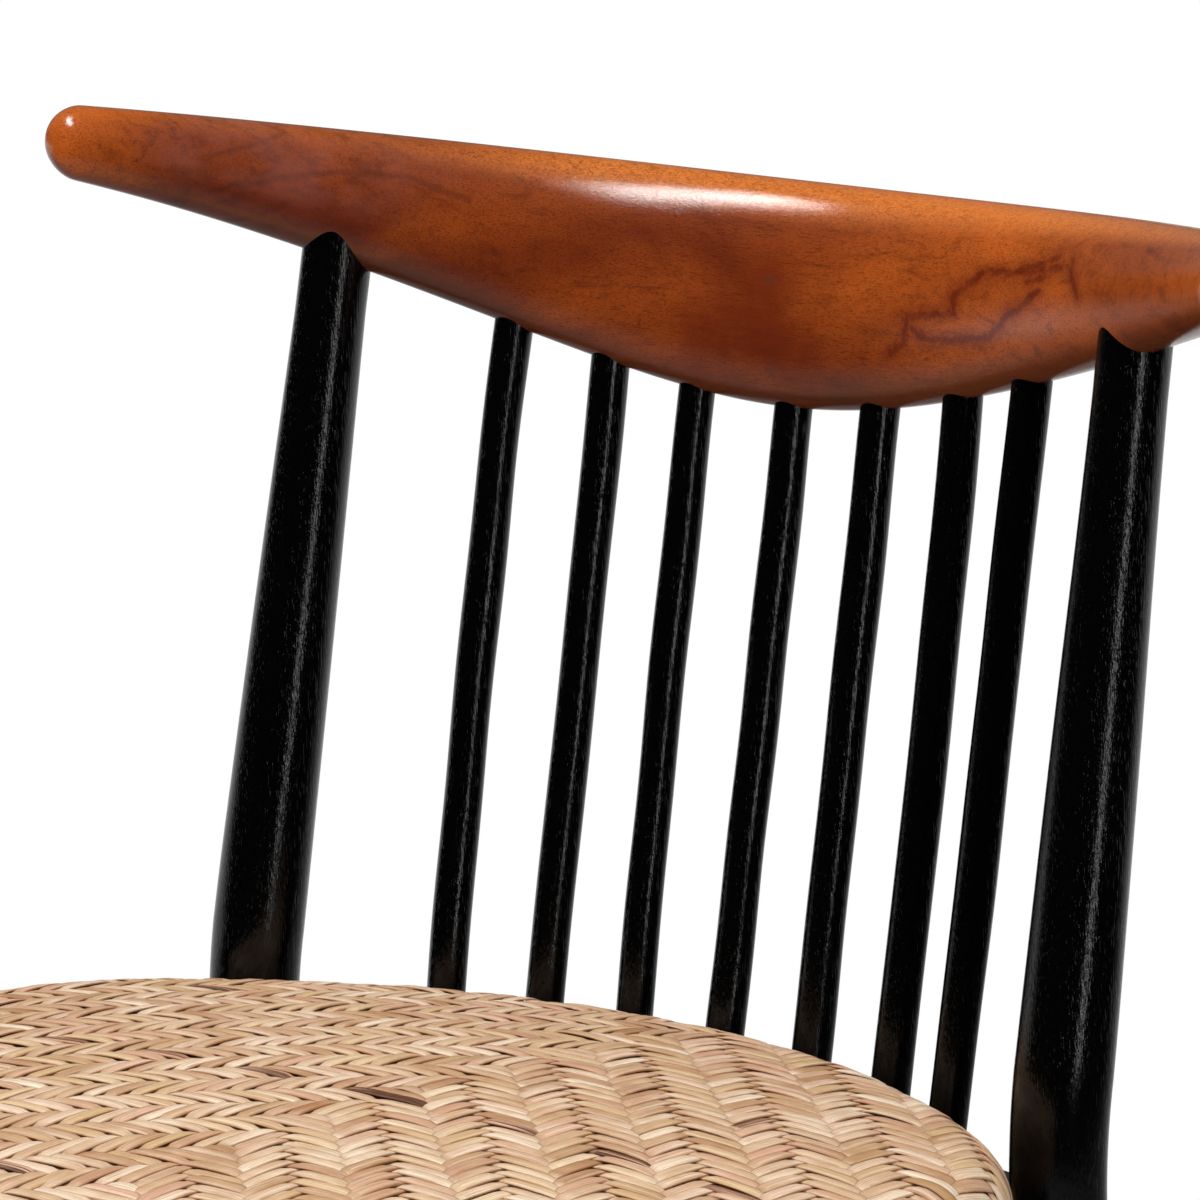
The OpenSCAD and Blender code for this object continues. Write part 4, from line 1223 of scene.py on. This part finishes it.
def solids_of(node):
    """The separate solids of a node, each as its points."""
    mesh = bmesh.new()
    mesh.from_mesh(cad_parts[node].data)
    bmesh.ops.remove_doubles(mesh, verts=mesh.verts, dist=1e-6)
    left, found = set(mesh.verts), []
    while left:
        stack, group = [left.pop()], []
        while stack:
            v = stack.pop()
            group.append(np.array(v.co))
            for edge in v.link_edges:
                other = edge.other_vert(v)
                if other in left:
                    left.remove(other)
                    stack.append(other)
        found.append(np.array(group))
    mesh.free()
    return found


def screw_place(points):
    """Middle of a screw's head face, the way its head points, its length and its head's radius."""
    centre = points.mean(0)
    way = np.linalg.svd(points - centre)[2][0]
    along = (points - centre) @ way
    radii = np.linalg.norm(points - centre - np.outer(along, way), axis=1)
    if along[radii > radii.max() * 0.8].mean() < 0:
        way, along = -way, -along
    head = centre + way * along.max()
    return head, way, along.max() - along.min(), radii.max()


def turned(profile, sides, x=0.0, y=0.0):
    """Points of a turned shape, with one ring for each radius and height of its profile."""
    turns = np.linspace(0, 2 * math.pi, sides, endpoint=False)
    return np.concatenate([
        np.stack([x + r * np.cos(turns), y + r * np.sin(turns), np.full(sides, z)], axis=1)
        for r, z in profile
    ])


def screw_mesh(run, head_r):
    """A pan-head screw with a cross recess, its head at zero and its tip down -Z."""
    sides = 16
    cross = 0.35 + 0.65 * np.abs(np.cos(2 * np.linspace(0, 2 * math.pi, sides, endpoint=False))) ** 3
    head = (
        (0.1, -0.35), (0.5 * cross, -0.04), (0.62, 0.0), (0.9, -0.16), (1.0, -0.4), (1.0, -0.75),
        (0.5, -0.78),
    )
    profile = [(r * head_r, z * head_r) for r, z in head]
    profile += [(head_r / 2, 1.2 * head_r - run), (0.12 * head_r, -run)]
    mesh = bpy.data.meshes.new("screw")
    mesh.from_pydata([tuple(p) for p in turned(profile, sides)], [], loft_faces(len(profile), sides))
    return outward(new_object("screw", mesh))


class CHAIR_OT_screws(bpy.types.Operator):
    """Sets the screws of the corner blocks and of the seat board"""

    bl_idname = "chair.screws"
    bl_label = "Screws"

    def execute(self, context):
        for node in ("corner_block_screws", "seat_screws"):
            places = [screw_place(p) for p in solids_of(node)]
            screw = screw_mesh(*places[0][2:])
            source = path_object(
                node + "_points", [[p[0]] for p in places], head_way=[p[1] for p in places]
            )
            obj = grown(
                source, screw_tree(), "zinc_plated_steel", "steel", node + "_steel", Screw=screw
            )
            bpy.data.objects.remove(screw)
            finish_piece(obj, node)
        return {"FINISHED"}


class CHAIR_OT_glides(bpy.types.Operator):
    """Makes the four moulded foot glides"""

    bl_idname = "chair.glides"
    bl_label = "Foot glides"

    def execute(self, context):
        s = context.scene.chair_sizes
        sides = 48
        for end, axis, d in (("front", front_axis, s.front_foot_d), ("rear", rear_axis, s.rear_foot_d)):
            r = d / 2 - GLIDE_IN
            profile = [
                (r * 0.2, 0.0), (r * 0.84, 0.0), (r - 0.0009, 0.0002), (r - 0.0002, 0.0009), (r, 0.0017),
                (r, s.glide_t - 0.0008), (r - 0.0006, s.glide_t), (r * 0.2, s.glide_t),
            ]
            for side, hand in ((-1, "left"), (1, "right")):
                x, y, _ = mirrored(axis(s, s.glide_t), side)
                node = f"foot_glide_{end}_{hand}"
                obj = add_mesh(
                    node + "_pad", placed(turned(profile, sides, x, y), s),
                    loft_faces(len(profile), sides), "moulded_glide",
                )
                finish_piece(obj, node)
        return {"FINISHED"}


# The seat

# Points round each ring of the pad, the ground and the hem's tape
SEAT_SIDES = 288
# Where the round edge ends and the crown begins, in degrees up from level, and the size of the
# crown's innermost ring as a share of its outermost
CROWN_TURN = 84
CROWN_START = 0.02
# How far the pad keeps off the cover and the board, and its lower edge above the board's underside
PAD_GAP = 0.0003
PAD_LIFT = 0.002
# How far the board stands in from the seat's round edge, how far it lies above the cover's hem, and
# its thickness
BOARD_IN = 0.001
BOARD_LIFT = 0.0002
BOARD_T = 0.012
# Half the thickness of the sheet under the strips, which lies at the inner face of the cover's solid and is
# painted with the glow of light through the rattan in the weave's gaps
GAP_GLOW_HALF_T = 0.0001
# How far the hem's tape starts in from the round edge and ends short of the hem, its thickness, and
# how far its inner end hangs lower
TAPE_IN = 0.004
TAPE_SHORT = 0.001
TAPE_T = 0.0012
TAPE_DIP = 0.0002
# How far the strips reach in under the seat, and how far their tops stand proud of the cover's solid
STRIP_REACH = 0.013
STRIP_PROUD = 0.0002
# Half the length of the field that the strips are laid out on, and half its width
FIELD_HALF_LENGTH = 0.36
FIELD_HALF_WIDTH = 0.34
# The fewest points that make a strip worth weaving, and more floats than any strip has
FEWEST_POINTS = 6
DRAWN_FLOATS = 400
# Sideways wander of a strip, its waver in height, and the spread of whole strips' and of single
# floats' heights
STRIP_WANDER = 0.0005
STRIP_WAVER = 0.0001
STRIP_LIFT = 0.00008
FLOAT_LIFT = 0.00022
# The share of the strips that have dark streaks, and of the floats in them
STREAKED_STRIPS = 0.06
STREAKED_FLOATS = 0.35


def bearing(start, end):
    return math.atan2(end[1] - start[1], end[0] - start[0])


class SeatForm:
    """The seat's plan outline and its crowned, round-edged form, in the design's own frame."""

    def __init__(self, s):
        self.s = s
        self.edge_r = s.seat_edge_t / 2
        self.edge_z = s.frame_top_h + self.edge_r
        self.turn = math.radians(CROWN_TURN)
        self.under_run = self.edge_r * (self.turn + math.pi / 2)
        self.mid_y = -s.seat_gap - s.seat_depth / 2
        back, front = -s.seat_gap, -s.seat_gap - s.seat_depth
        rear_c = np.array([0.0, back - s.seat_rear_r])
        front_c = np.array([0.0, front + s.seat_front_r])
        side_c = np.array([s.seat_half_w - s.seat_side_r, self.mid_y])
        rear_k, front_k = (
            self.meet(centre, edge_r - corner_r, side_c, s.seat_side_r - corner_r, turn)
            for centre, edge_r, corner_r, turn in (
                (rear_c, s.seat_rear_r, s.rear_corner_r, 1), (front_c, s.seat_front_r, s.front_corner_r, -1),
            )
        )
        # Bearings of a rear and a front corner's centre from the centres of the edges on both sides of it
        rs, rb = bearing(side_c, rear_k), bearing(rear_c, rear_k)
        fs, ff = bearing(side_c, front_k), bearing(front_c, front_k)
        pi, flip = math.pi, np.array([-1.0, 1.0])
        self.arcs = [
            (side_c, s.seat_side_r, fs, rs), (rear_k, s.rear_corner_r, rs, rb),
            (rear_c, s.seat_rear_r, rb, pi - rb), (rear_k * flip, s.rear_corner_r, pi - rb, pi - rs),
            (side_c * flip, s.seat_side_r, pi - rs, pi - fs),
            (front_k * flip, s.front_corner_r, pi - fs, pi - ff),
            (front_c, s.seat_front_r, -pi - ff, ff), (front_k, s.front_corner_r, ff, fs),
        ]
        self.crown_inset = self.edge_r * (1 - math.cos(self.turn))
        rim = self.outline(self.crown_inset, 5 * SEAT_SIDES)
        bearings = np.arctan2(rim[:, 1] - self.mid_y, rim[:, 0])
        order = np.argsort(bearings)
        self.rim_a = bearings[order]
        self.rim_r = np.hypot(rim[:, 0], rim[:, 1] - self.mid_y)[order]

    @staticmethod
    def meet(c1, r1, c2, r2, turn):
        """Where two circles meet, on the side that turn gives."""
        v = c2 - c1
        d = np.linalg.norm(v)
        along = (r1 * r1 - r2 * r2 + d * d) / (2 * d)
        h = math.sqrt(r1 * r1 - along * along)
        return c1 + v / d * along + np.array([v[1], -v[0]]) / d * h * turn

    def outline(self, inset, count):
        """Points round the outline, spaced evenly, drawn in by inset."""
        runs = [abs(a1 - a0) * r for _, r, a0, a1 in self.arcs]
        total, points = sum(runs), []
        for (c, r, a0, a1), run in zip(self.arcs, runs):
            n = max(2, round(count * run / total))
            a = np.linspace(a0, a1, n, endpoint=False)
            points.append(c + (r - inset) * np.stack([np.cos(a), np.sin(a)], axis=1))
        return np.concatenate(points)

    def nearest(self, p):
        """Inset of each plan point from the outline, and the arc's centre and radius it belongs to."""
        best = np.full(len(p), np.inf)
        centre, radius = np.zeros((len(p), 2)), np.ones(len(p))
        for c, r, a0, a1 in self.arcs:
            v = p - c
            a = np.arctan2(v[:, 1], v[:, 0])
            within = (a - a0) % (2 * math.pi) <= (a1 - a0) + 1e-9
            inset = r - np.hypot(v[:, 0], v[:, 1])
            take = within & (inset < best)
            best[take], radius[take] = inset[take], r
            centre[take] = c
        return best, centre, radius

    def place(self, p):
        """Lays flat plan points over the form: the crown, round the edge and in underneath."""
        inset, centre, radius = self.nearest(p)
        a = np.arctan2(p[:, 1] - self.mid_y, p[:, 0])
        rim = np.interp(a, self.rim_a, self.rim_r, period=2 * math.pi)
        k = np.hypot(p[:, 0], p[:, 1] - self.mid_y) / rim
        top_z = self.edge_z + self.edge_r * math.sin(self.turn)
        out = np.stack([p[:, 0], p[:, 1], top_z + self.s.seat_crown * (1 - np.minimum(k, 1) ** 2)], axis=1)
        over = inset < self.crown_inset
        run = self.crown_inset - inset[over]
        turn = np.maximum(self.turn - run / self.edge_r, -math.pi / 2)
        drawn = self.edge_r * (1 - np.cos(turn)) + np.maximum(run - self.under_run, 0)
        way = p[over] - centre[over]
        way /= np.linalg.norm(way, axis=1)[:, None]
        out[over, :2] = centre[over] + way * (radius[over] - drawn)[:, None]
        out[over, 2] = self.edge_z + self.edge_r * np.sin(turn)
        return out

    def surface(self, p):
        """Place, outward normal and the widths' shrink along X and along Y of flat plan points."""
        step = 0.0004
        dx = (self.place(p + [step, 0]) - self.place(p - [step, 0])) / (2 * step)
        dy = (self.place(p + [0, step]) - self.place(p - [0, step])) / (2 * step)
        normal = np.cross(dx, dy)
        area = np.linalg.norm(normal, axis=1)
        normal /= np.maximum(area, 1e-9)[:, None]
        shrink_x = area / np.maximum(np.linalg.norm(dy, axis=1), 1e-9)
        shrink_y = area / np.maximum(np.linalg.norm(dx, axis=1), 1e-9)
        return self.place(p), normal, shrink_x, shrink_y

    def flat_ring(self, inset, z):
        """The outline at one height, drawn in by inset."""
        p = self.outline(inset, SEAT_SIDES)
        return np.column_stack([p, np.full(len(p), z)])

    def edge_ring(self, inside, turn):
        """The outline at one turn of the round edge, at a depth inside the form."""
        r = self.edge_r - inside
        return self.flat_ring(self.edge_r - r * math.cos(turn), self.edge_z + r * math.sin(turn))

    def crown_ring(self, inside, k):
        """The ring at the top of the round edge, shrunk by k and raised with the crown."""
        x, y, z = self.edge_ring(inside, self.turn).T
        raised = z + self.s.seat_crown * (1 - k * k)
        return np.stack([x * k, self.mid_y + (y - self.mid_y) * k, raised], axis=1)


def ring_piece(name, rings, s, finish, closed=False):
    """A piece lofted over rings, with its ends capped or joined to each other."""
    n = len(rings[0])
    faces = loft_faces(len(rings), n, caps=not closed)
    if closed:
        last = (len(rings) - 1) * n
        faces += [(last + k, k, (k + 1) % n, last + (k + 1) % n) for k in range(n)]
    return add_mesh(name, placed(np.concatenate(rings), s), faces, finish)


class CHAIR_OT_seat_pad(bpy.types.Operator):
    """Makes the foam pad over the seat board"""

    bl_idname = "chair.seat_pad"
    bl_label = "Seat pad"

    def execute(self, context):
        s = context.scene.chair_sizes
        form = SeatForm(s)
        inside = s.cover_t + PAD_GAP
        board_low = s.frame_top_h + s.cover_t + BOARD_LIFT
        board_in = form.edge_r + BOARD_IN - PAD_GAP
        low_z = board_low + PAD_LIFT
        low_turn = math.asin((low_z - form.edge_z) / (form.edge_r - inside))
        rings = [form.crown_ring(inside, k) for k in np.linspace(CROWN_START, 1, 22)]
        rings += [form.edge_ring(inside, a) for a in np.linspace(form.turn, low_turn, 20)[1:]]
        rings += [form.flat_ring(board_in, z) for z in (low_z, board_low + BOARD_T + PAD_GAP)]
        obj = finish_piece(ring_piece("seat_foam_pad", rings, s, "seat_foam"), "seat_padding")
        return {"FINISHED"}


class CHAIR_OT_woven_cover(bpy.types.Operator):
    """Weaves the rattan strips over the seat, with the sheet under them painted as the glow of light through
    their gaps, and the hem underneath
    """

    bl_idname = "chair.woven_cover"
    bl_label = "Woven cover"

    def weave(self, s, form, along_y):
        """All strips of one direction, as paths with their lie, half width and tones."""
        pitch, cross_pitch = (s.warp_pitch, s.weft_pitch) if along_y else (s.weft_pitch, s.warp_pitch)
        period, way = 2 * s.float_count, 1.0 if along_y else -1.0
        rng = np.random.default_rng(7 if along_y else 8)
        reach = form.under_run + STRIP_REACH - form.crown_inset
        line = np.arange(-FIELD_HALF_LENGTH, FIELD_HALF_LENGTH, cross_pitch * period / 16)
        span = int(FIELD_HALF_WIDTH / pitch)
        strips = []
        for index in range(-span, span + 1):
            rank = index + 0.5
            wander = wobble(1000 + index + (0 if along_y else 5000), len(line), STRIP_WANDER)
            if along_y:
                x, y = np.full(len(line), s.mitre_x + rank * pitch) + wander, line + form.mid_y
                warp_rank, weft_rank = rank, (y - form.mid_y) / s.weft_pitch
            else:
                x, y = line + s.mitre_x, np.full(len(line), form.mid_y + rank * pitch) + wander
                warp_rank, weft_rank = (x - s.mitre_x) / s.warp_pitch, rank
            plan = np.stack([x, y], axis=1)
            inset = form.nearest(plan)[0]
            keep = inset > -reach
            if keep.sum() < FEWEST_POINTS:
                continue
            plan, inset = plan[keep], inset[keep]
            phase = (weft_rank + np.abs(warp_rank) + s.twill_start)[keep]
            point, normal, shrink_x, shrink_y = form.surface(plan)
            # The strip's swing from 1 in the middle of a float over the weave to -1 in the middle of
            # one under it, and its level, which rises and dips faster
            swing = way * np.cos(2 * math.pi * (phase - period / 4) / period)
            level = np.tanh(2 * swing) / math.tanh(2)
            press = np.clip((inset + form.edge_r * 2.6) / (form.edge_r * 1.2), 0.3, 1.0)
            height = s.relief * level * press - s.relief - s.strip_t / 2 + STRIP_PROUD
            lifts = rng.normal(0, FLOAT_LIFT, DRAWN_FLOATS)
            height = height + rng.normal(0, STRIP_LIFT) + wobble(2000 + index, len(plan), STRIP_WAVER)
            full = 0.4 + 0.14 * smooth_step((swing + 0.1) / 0.55)
            shrink = np.clip(shrink_x if along_y else shrink_y, 0.2, 1.1)
            width = pitch * full * rng.uniform(0.9, 1.06) * shrink
            # The float that each point of the strip belongs to, for its own tone and lift
            piece = np.floor((phase - (0 if along_y else period / 2)) / period).astype(int)
            height = height + lifts[piece % DRAWN_FLOATS] * np.clip(swing, 0, 1) ** 0.5 * press
            shades = rng.uniform(0, 1, DRAWN_FLOATS)
            hues = rng.uniform(0, 1, DRAWN_FLOATS)
            own, own_hue = rng.uniform(), rng.uniform()
            tone = np.clip(0.35 * own + 0.65 * shades[piece % DRAWN_FLOATS], 0, 1)
            hue = np.clip(0.35 * own_hue + 0.65 * hues[piece % DRAWN_FLOATS], 0, 0.96)
            if rng.uniform() < STREAKED_STRIPS:
                hue = np.where(shades[(piece + 3) % DRAWN_FLOATS] < STREAKED_FLOATS, 1.0, hue)
            # The last value, sunk, is how far the strip dips under the weave; its finish paints shade there
            strips.append((point + normal * height[:, None], normal, width, tone, hue, 0.5 - level / 2))
        return strips

    def execute(self, context):
        s = context.scene.chair_sizes
        form = SeatForm(s)
        low = s.frame_top_h
        outer, inner = s.cover_t - GAP_GLOW_HALF_T, s.cover_t + GAP_GLOW_HALF_T
        shares, turns = np.linspace(CROWN_START, 1, 20), np.linspace(form.turn, -math.pi / 2, 24)[1:]
        rings = [form.crown_ring(outer, k) for k in shares]
        rings += [form.edge_ring(outer, a) for a in turns]
        rings += [form.flat_ring(s.hem_w, low + depth) for depth in (outer, inner)]
        rings += [form.edge_ring(inner, a) for a in reversed(turns)]
        rings += [form.crown_ring(inner, k) for k in reversed(shares)]
        # Painted light: the sheet that stands for the cover's solid is coloured as the glow of light through
        # the rattan in the weave's gaps
        gap_glow = ring_piece("woven_cover_ground", rings, s, "weave_ground")
        finish_piece(gap_glow, "woven_seat_cover")
        start, end, top = form.edge_r + TAPE_IN, s.hem_w - TAPE_SHORT, low + TAPE_T
        tape = [
            form.flat_ring(inset, z)
            for inset, z in ((start, top), (start, low), (end, low - TAPE_DIP), (end, top))
        ]
        hem = ring_piece("woven_cover_hem", tape, s, "hem_tape", closed=True)
        with_cover = [finish_piece(hem)]
        for along_y, name in ((True, "warp"), (False, "weft")):
            strips = self.weave(s, form, along_y)
            middle = len(strips) // 2
            for part, chosen in (("a", strips[:middle]), ("b", strips[middle:])):
                values = {
                    title: np.concatenate([strip[k] for strip in chosen])
                    for k, title in enumerate(("lie", "half_width", "tone", "hue", "sunk"), 1)
                }
                source = path_object("strips", [placed(strip[0], s) for strip in chosen], **values)
                obj = grown(
                    source, woven_strip_tree(), "woven_rattan", "rattan", f"woven_cover_{name}_{part}",
                    Thickness_Share=s.strip_t / s.warp_pitch, Profile_Points=10,
                )
                with_cover.append(finish_piece(obj))
        return {"FINISHED"}


# The stage

# Each lamp's name, its azimuth, elevation and distance from the lit point, its size and power, and
# whether gloss mirrors it
LAMPS = (
    ("key_softbox", -50, 56, 2.2, (1.1, 0.24), 27, True),
    ("side_strip", 67, 20, 2.2, (0.14, 2.0), 10, True),
    ("tip_softbox", 70, 44, 2.2, (0.34, 0.34), 3, True),
    ("fill_softbox", 20, 70, 2.4, (2.2, 2.2), 40, False),
)
LIT_POINT = (0.0, 0.1, 0.62)
# The photograph's camera: its focal length and the picture's width in pixels, its tilt down and its
# turn in degrees, and its place from the middle of the crest rail's underside
FOCAL_PIXELS, PHOTO_PIXELS = 6474.3, 1200
CAMERA_TILT, CAMERA_TURN = 9.91266, 38.89798
CAMERA_AWAY = (1.465326, -1.932833, 0.349675)
FLOOR_HALF = 30.0


def add_lamp(name, azimuth, elevation, distance, size, energy, mirrored_too):
    """A softbox that faces the lit point; azimuth 0 is in front of the chair and 90 on its +X side."""
    a, e = math.radians(azimuth), math.radians(elevation)
    away = np.array((math.sin(a) * math.cos(e), -math.cos(a) * math.cos(e), math.sin(e)))
    lamp = bpy.data.lights.new(name, "AREA")
    lamp.shape = "RECTANGLE"
    lamp.size, lamp.size_y = size
    lamp.energy = energy
    obj = new_object(name, lamp)
    obj.visible_glossy = mirrored_too
    obj.location = LIT_POINT + distance * away
    obj.rotation_mode = "QUATERNION"
    obj.rotation_quaternion = Vector(-away).to_track_quat("-Z", "Y")


def mixed_shader(tree, share, first, second):
    node = tree.nodes.new("ShaderNodeMixShader")
    for value, socket in zip((share, first, second), node.inputs):
        link(tree, value, socket)
    return node.outputs[0]


def depth_behind(tree, vector):
    """How far a place or a direction lies behind the chair, as the camera sees it."""
    x, y, _ = axes(tree, vector)
    return math_node(tree, "ADD", product(tree, x, -0.63), product(tree, y, 0.78))


class CHAIR_OT_stage(bpy.types.Operator):
    """Sets the floor, the world, the lamps and the camera of the photograph's view"""

    bl_idname = "chair.stage"
    bl_label = "Stage"

    def world(self, scene):
        """A white backdrop, with dim light from all round and a dark room in what gloss mirrors."""
        scene.world = bpy.data.worlds.new("Studio")
        scene.world.use_nodes = True
        tree = scene.world.node_tree
        tree.nodes.clear()
        behind = depth_behind(tree, tree.nodes.new("ShaderNodeTexCoord").outputs["Generated"])
        mirrored_light = map_range(tree, behind, 0.5, 0.95, 0.008, 0.12, smooth=True)
        white, dim, room = (
            shader_node(tree, "ShaderNodeBackground", Color=tint, Strength=strength).outputs[0]
            for tint, strength in (
                ((1, 1, 1), 1.0), ((0.96, 0.98, 1.0), 0.42), ((0.9, 0.95, 1.0), mirrored_light),
            )
        )
        ray = tree.nodes.new("ShaderNodeLightPath").outputs
        lit = mixed_shader(tree, ray["Is Glossy Ray"], dim, room)
        seen = mixed_shader(tree, ray["Is Camera Ray"], lit, white)
        shader_node(tree, "ShaderNodeOutputWorld", Surface=seen)

    def floor(self, scene):
        """White paper, clear from below, that gloss mirrors brighter behind the chair than before it."""
        steps = 12
        line = np.linspace(-FLOOR_HALF, FLOOR_HALF, steps + 1)
        n = steps + 1
        corners = [j * n + i for j in range(steps) for i in range(steps)]
        mesh = bpy.data.meshes.new("studio_floor")
        mesh.from_pydata(
            [(x, y, 0.0) for y in line for x in line], [], [(k, k + 1, k + n + 1, k + n) for k in corners]
        )
        finish, tree, shader, vector = new_material("studio_paper")
        tint = tuple(scene.chair_colours.floor)
        speck = map_range(tree, noise(tree, vector, 240.0, 2.0), 0.4, 0.6, 0.0, 0.02)
        link(tree, mix_colour(tree, speck, tint, darker(tint, 0.9)), shader.inputs["Base Color"])
        shader.inputs["Roughness"].default_value = 0.85
        away = vector_math(tree, "LENGTH", vector)
        rear = map_range(tree, depth_behind(tree, vector), 0.3, 2.2, 0.01, 0.8, smooth=True)
        near = map_range(tree, away, 1.4, 2.3, 0.3, 0.01, smooth=True)
        paper, mirror = (
            shader_node(tree, "ShaderNodeEmission", Color=(1, 1, 1), Strength=strength).outputs[0]
            for strength in (1.0, math_node(tree, "MAXIMUM", rear, near))
        )
        ray = tree.nodes.new("ShaderNodeLightPath").outputs
        far = product(tree, ray["Is Camera Ray"], map_range(tree, away, 0.55, 1.5, smooth=True))
        lit = mixed_shader(tree, ray["Is Glossy Ray"], shader.outputs[0], mirror)
        seen = mixed_shader(tree, far, lit, paper)
        below = tree.nodes.new("ShaderNodeNewGeometry").outputs["Backfacing"]
        clear = tree.nodes.new("ShaderNodeBsdfTransparent").outputs[0]
        out = next(node for node in tree.nodes if node.type == "OUTPUT_MATERIAL")
        link(tree, mixed_shader(tree, below, seen, clear), out.inputs["Surface"])
        mesh.materials.append(finish)
        new_object("studio_floor", mesh)

    def execute(self, context):
        scene = context.scene
        self.world(scene)
        self.floor(scene)
        for lamp in LAMPS:
            add_lamp(*lamp)
        camera = bpy.data.cameras.new("photo_camera")
        camera.sensor_width = 36.0
        camera.lens = FOCAL_PIXELS / PHOTO_PIXELS * camera.sensor_width
        camera.clip_start, camera.clip_end = 0.05, 100.0
        obj = new_object("photo_camera", camera)
        s = scene.chair_sizes
        middle = (0.0, design_offset(s) + lean_y(s, crest_z(s)), crest_z(s))
        obj.location = np.add(middle, CAMERA_AWAY)
        obj.rotation_euler = (math.radians(90 - CAMERA_TILT), 0.0, math.radians(CAMERA_TURN))
        scene.camera = obj
        scene.view_settings.view_transform = "Standard"
        return {"FINISHED"}


class CHAIR_PT_panel(bpy.types.Panel):
    """Lists the chair's pieces, sizes and colours"""

    bl_label = "Rattan dining chair"
    bl_idname = "CHAIR_PT_panel"
    bl_space_type = "VIEW_3D"
    bl_region_type = "UI"
    bl_category = "Chair"

    def draw(self, context):
        for operator in PIECES:
            self.layout.operator(operator.bl_idname, text=operator.bl_label)
        for settings in (context.scene.chair_sizes, context.scene.chair_colours):
            box = self.layout.box()
            for name in settings.__annotations__:
                box.prop(settings, name)


PIECES = (
    CHAIR_OT_crest_rail, CHAIR_OT_rear_legs, CHAIR_OT_spindles, CHAIR_OT_front_legs, CHAIR_OT_seat_frame,
    CHAIR_OT_stretchers, CHAIR_OT_screws, CHAIR_OT_glides, CHAIR_OT_seat_pad, CHAIR_OT_woven_cover,
    CHAIR_OT_stage,
)
CLASSES = (ChairSizes, ChairColours, *PIECES, CHAIR_PT_panel)


def register():
    for item in CLASSES:
        bpy.utils.register_class(item)
    bpy.types.Scene.chair_sizes = PointerProperty(type=ChairSizes)
    bpy.types.Scene.chair_colours = PointerProperty(type=ChairColours)


def unregister():
    del bpy.types.Scene.chair_sizes
    del bpy.types.Scene.chair_colours
    for item in reversed(CLASSES):
        bpy.utils.unregister_class(item)


def main():
    register()
    for operator in PIECES:
        family, name = operator.bl_idname.split(".")
        getattr(getattr(bpy.ops, family), name)()


if __name__ == "__main__":
    main()
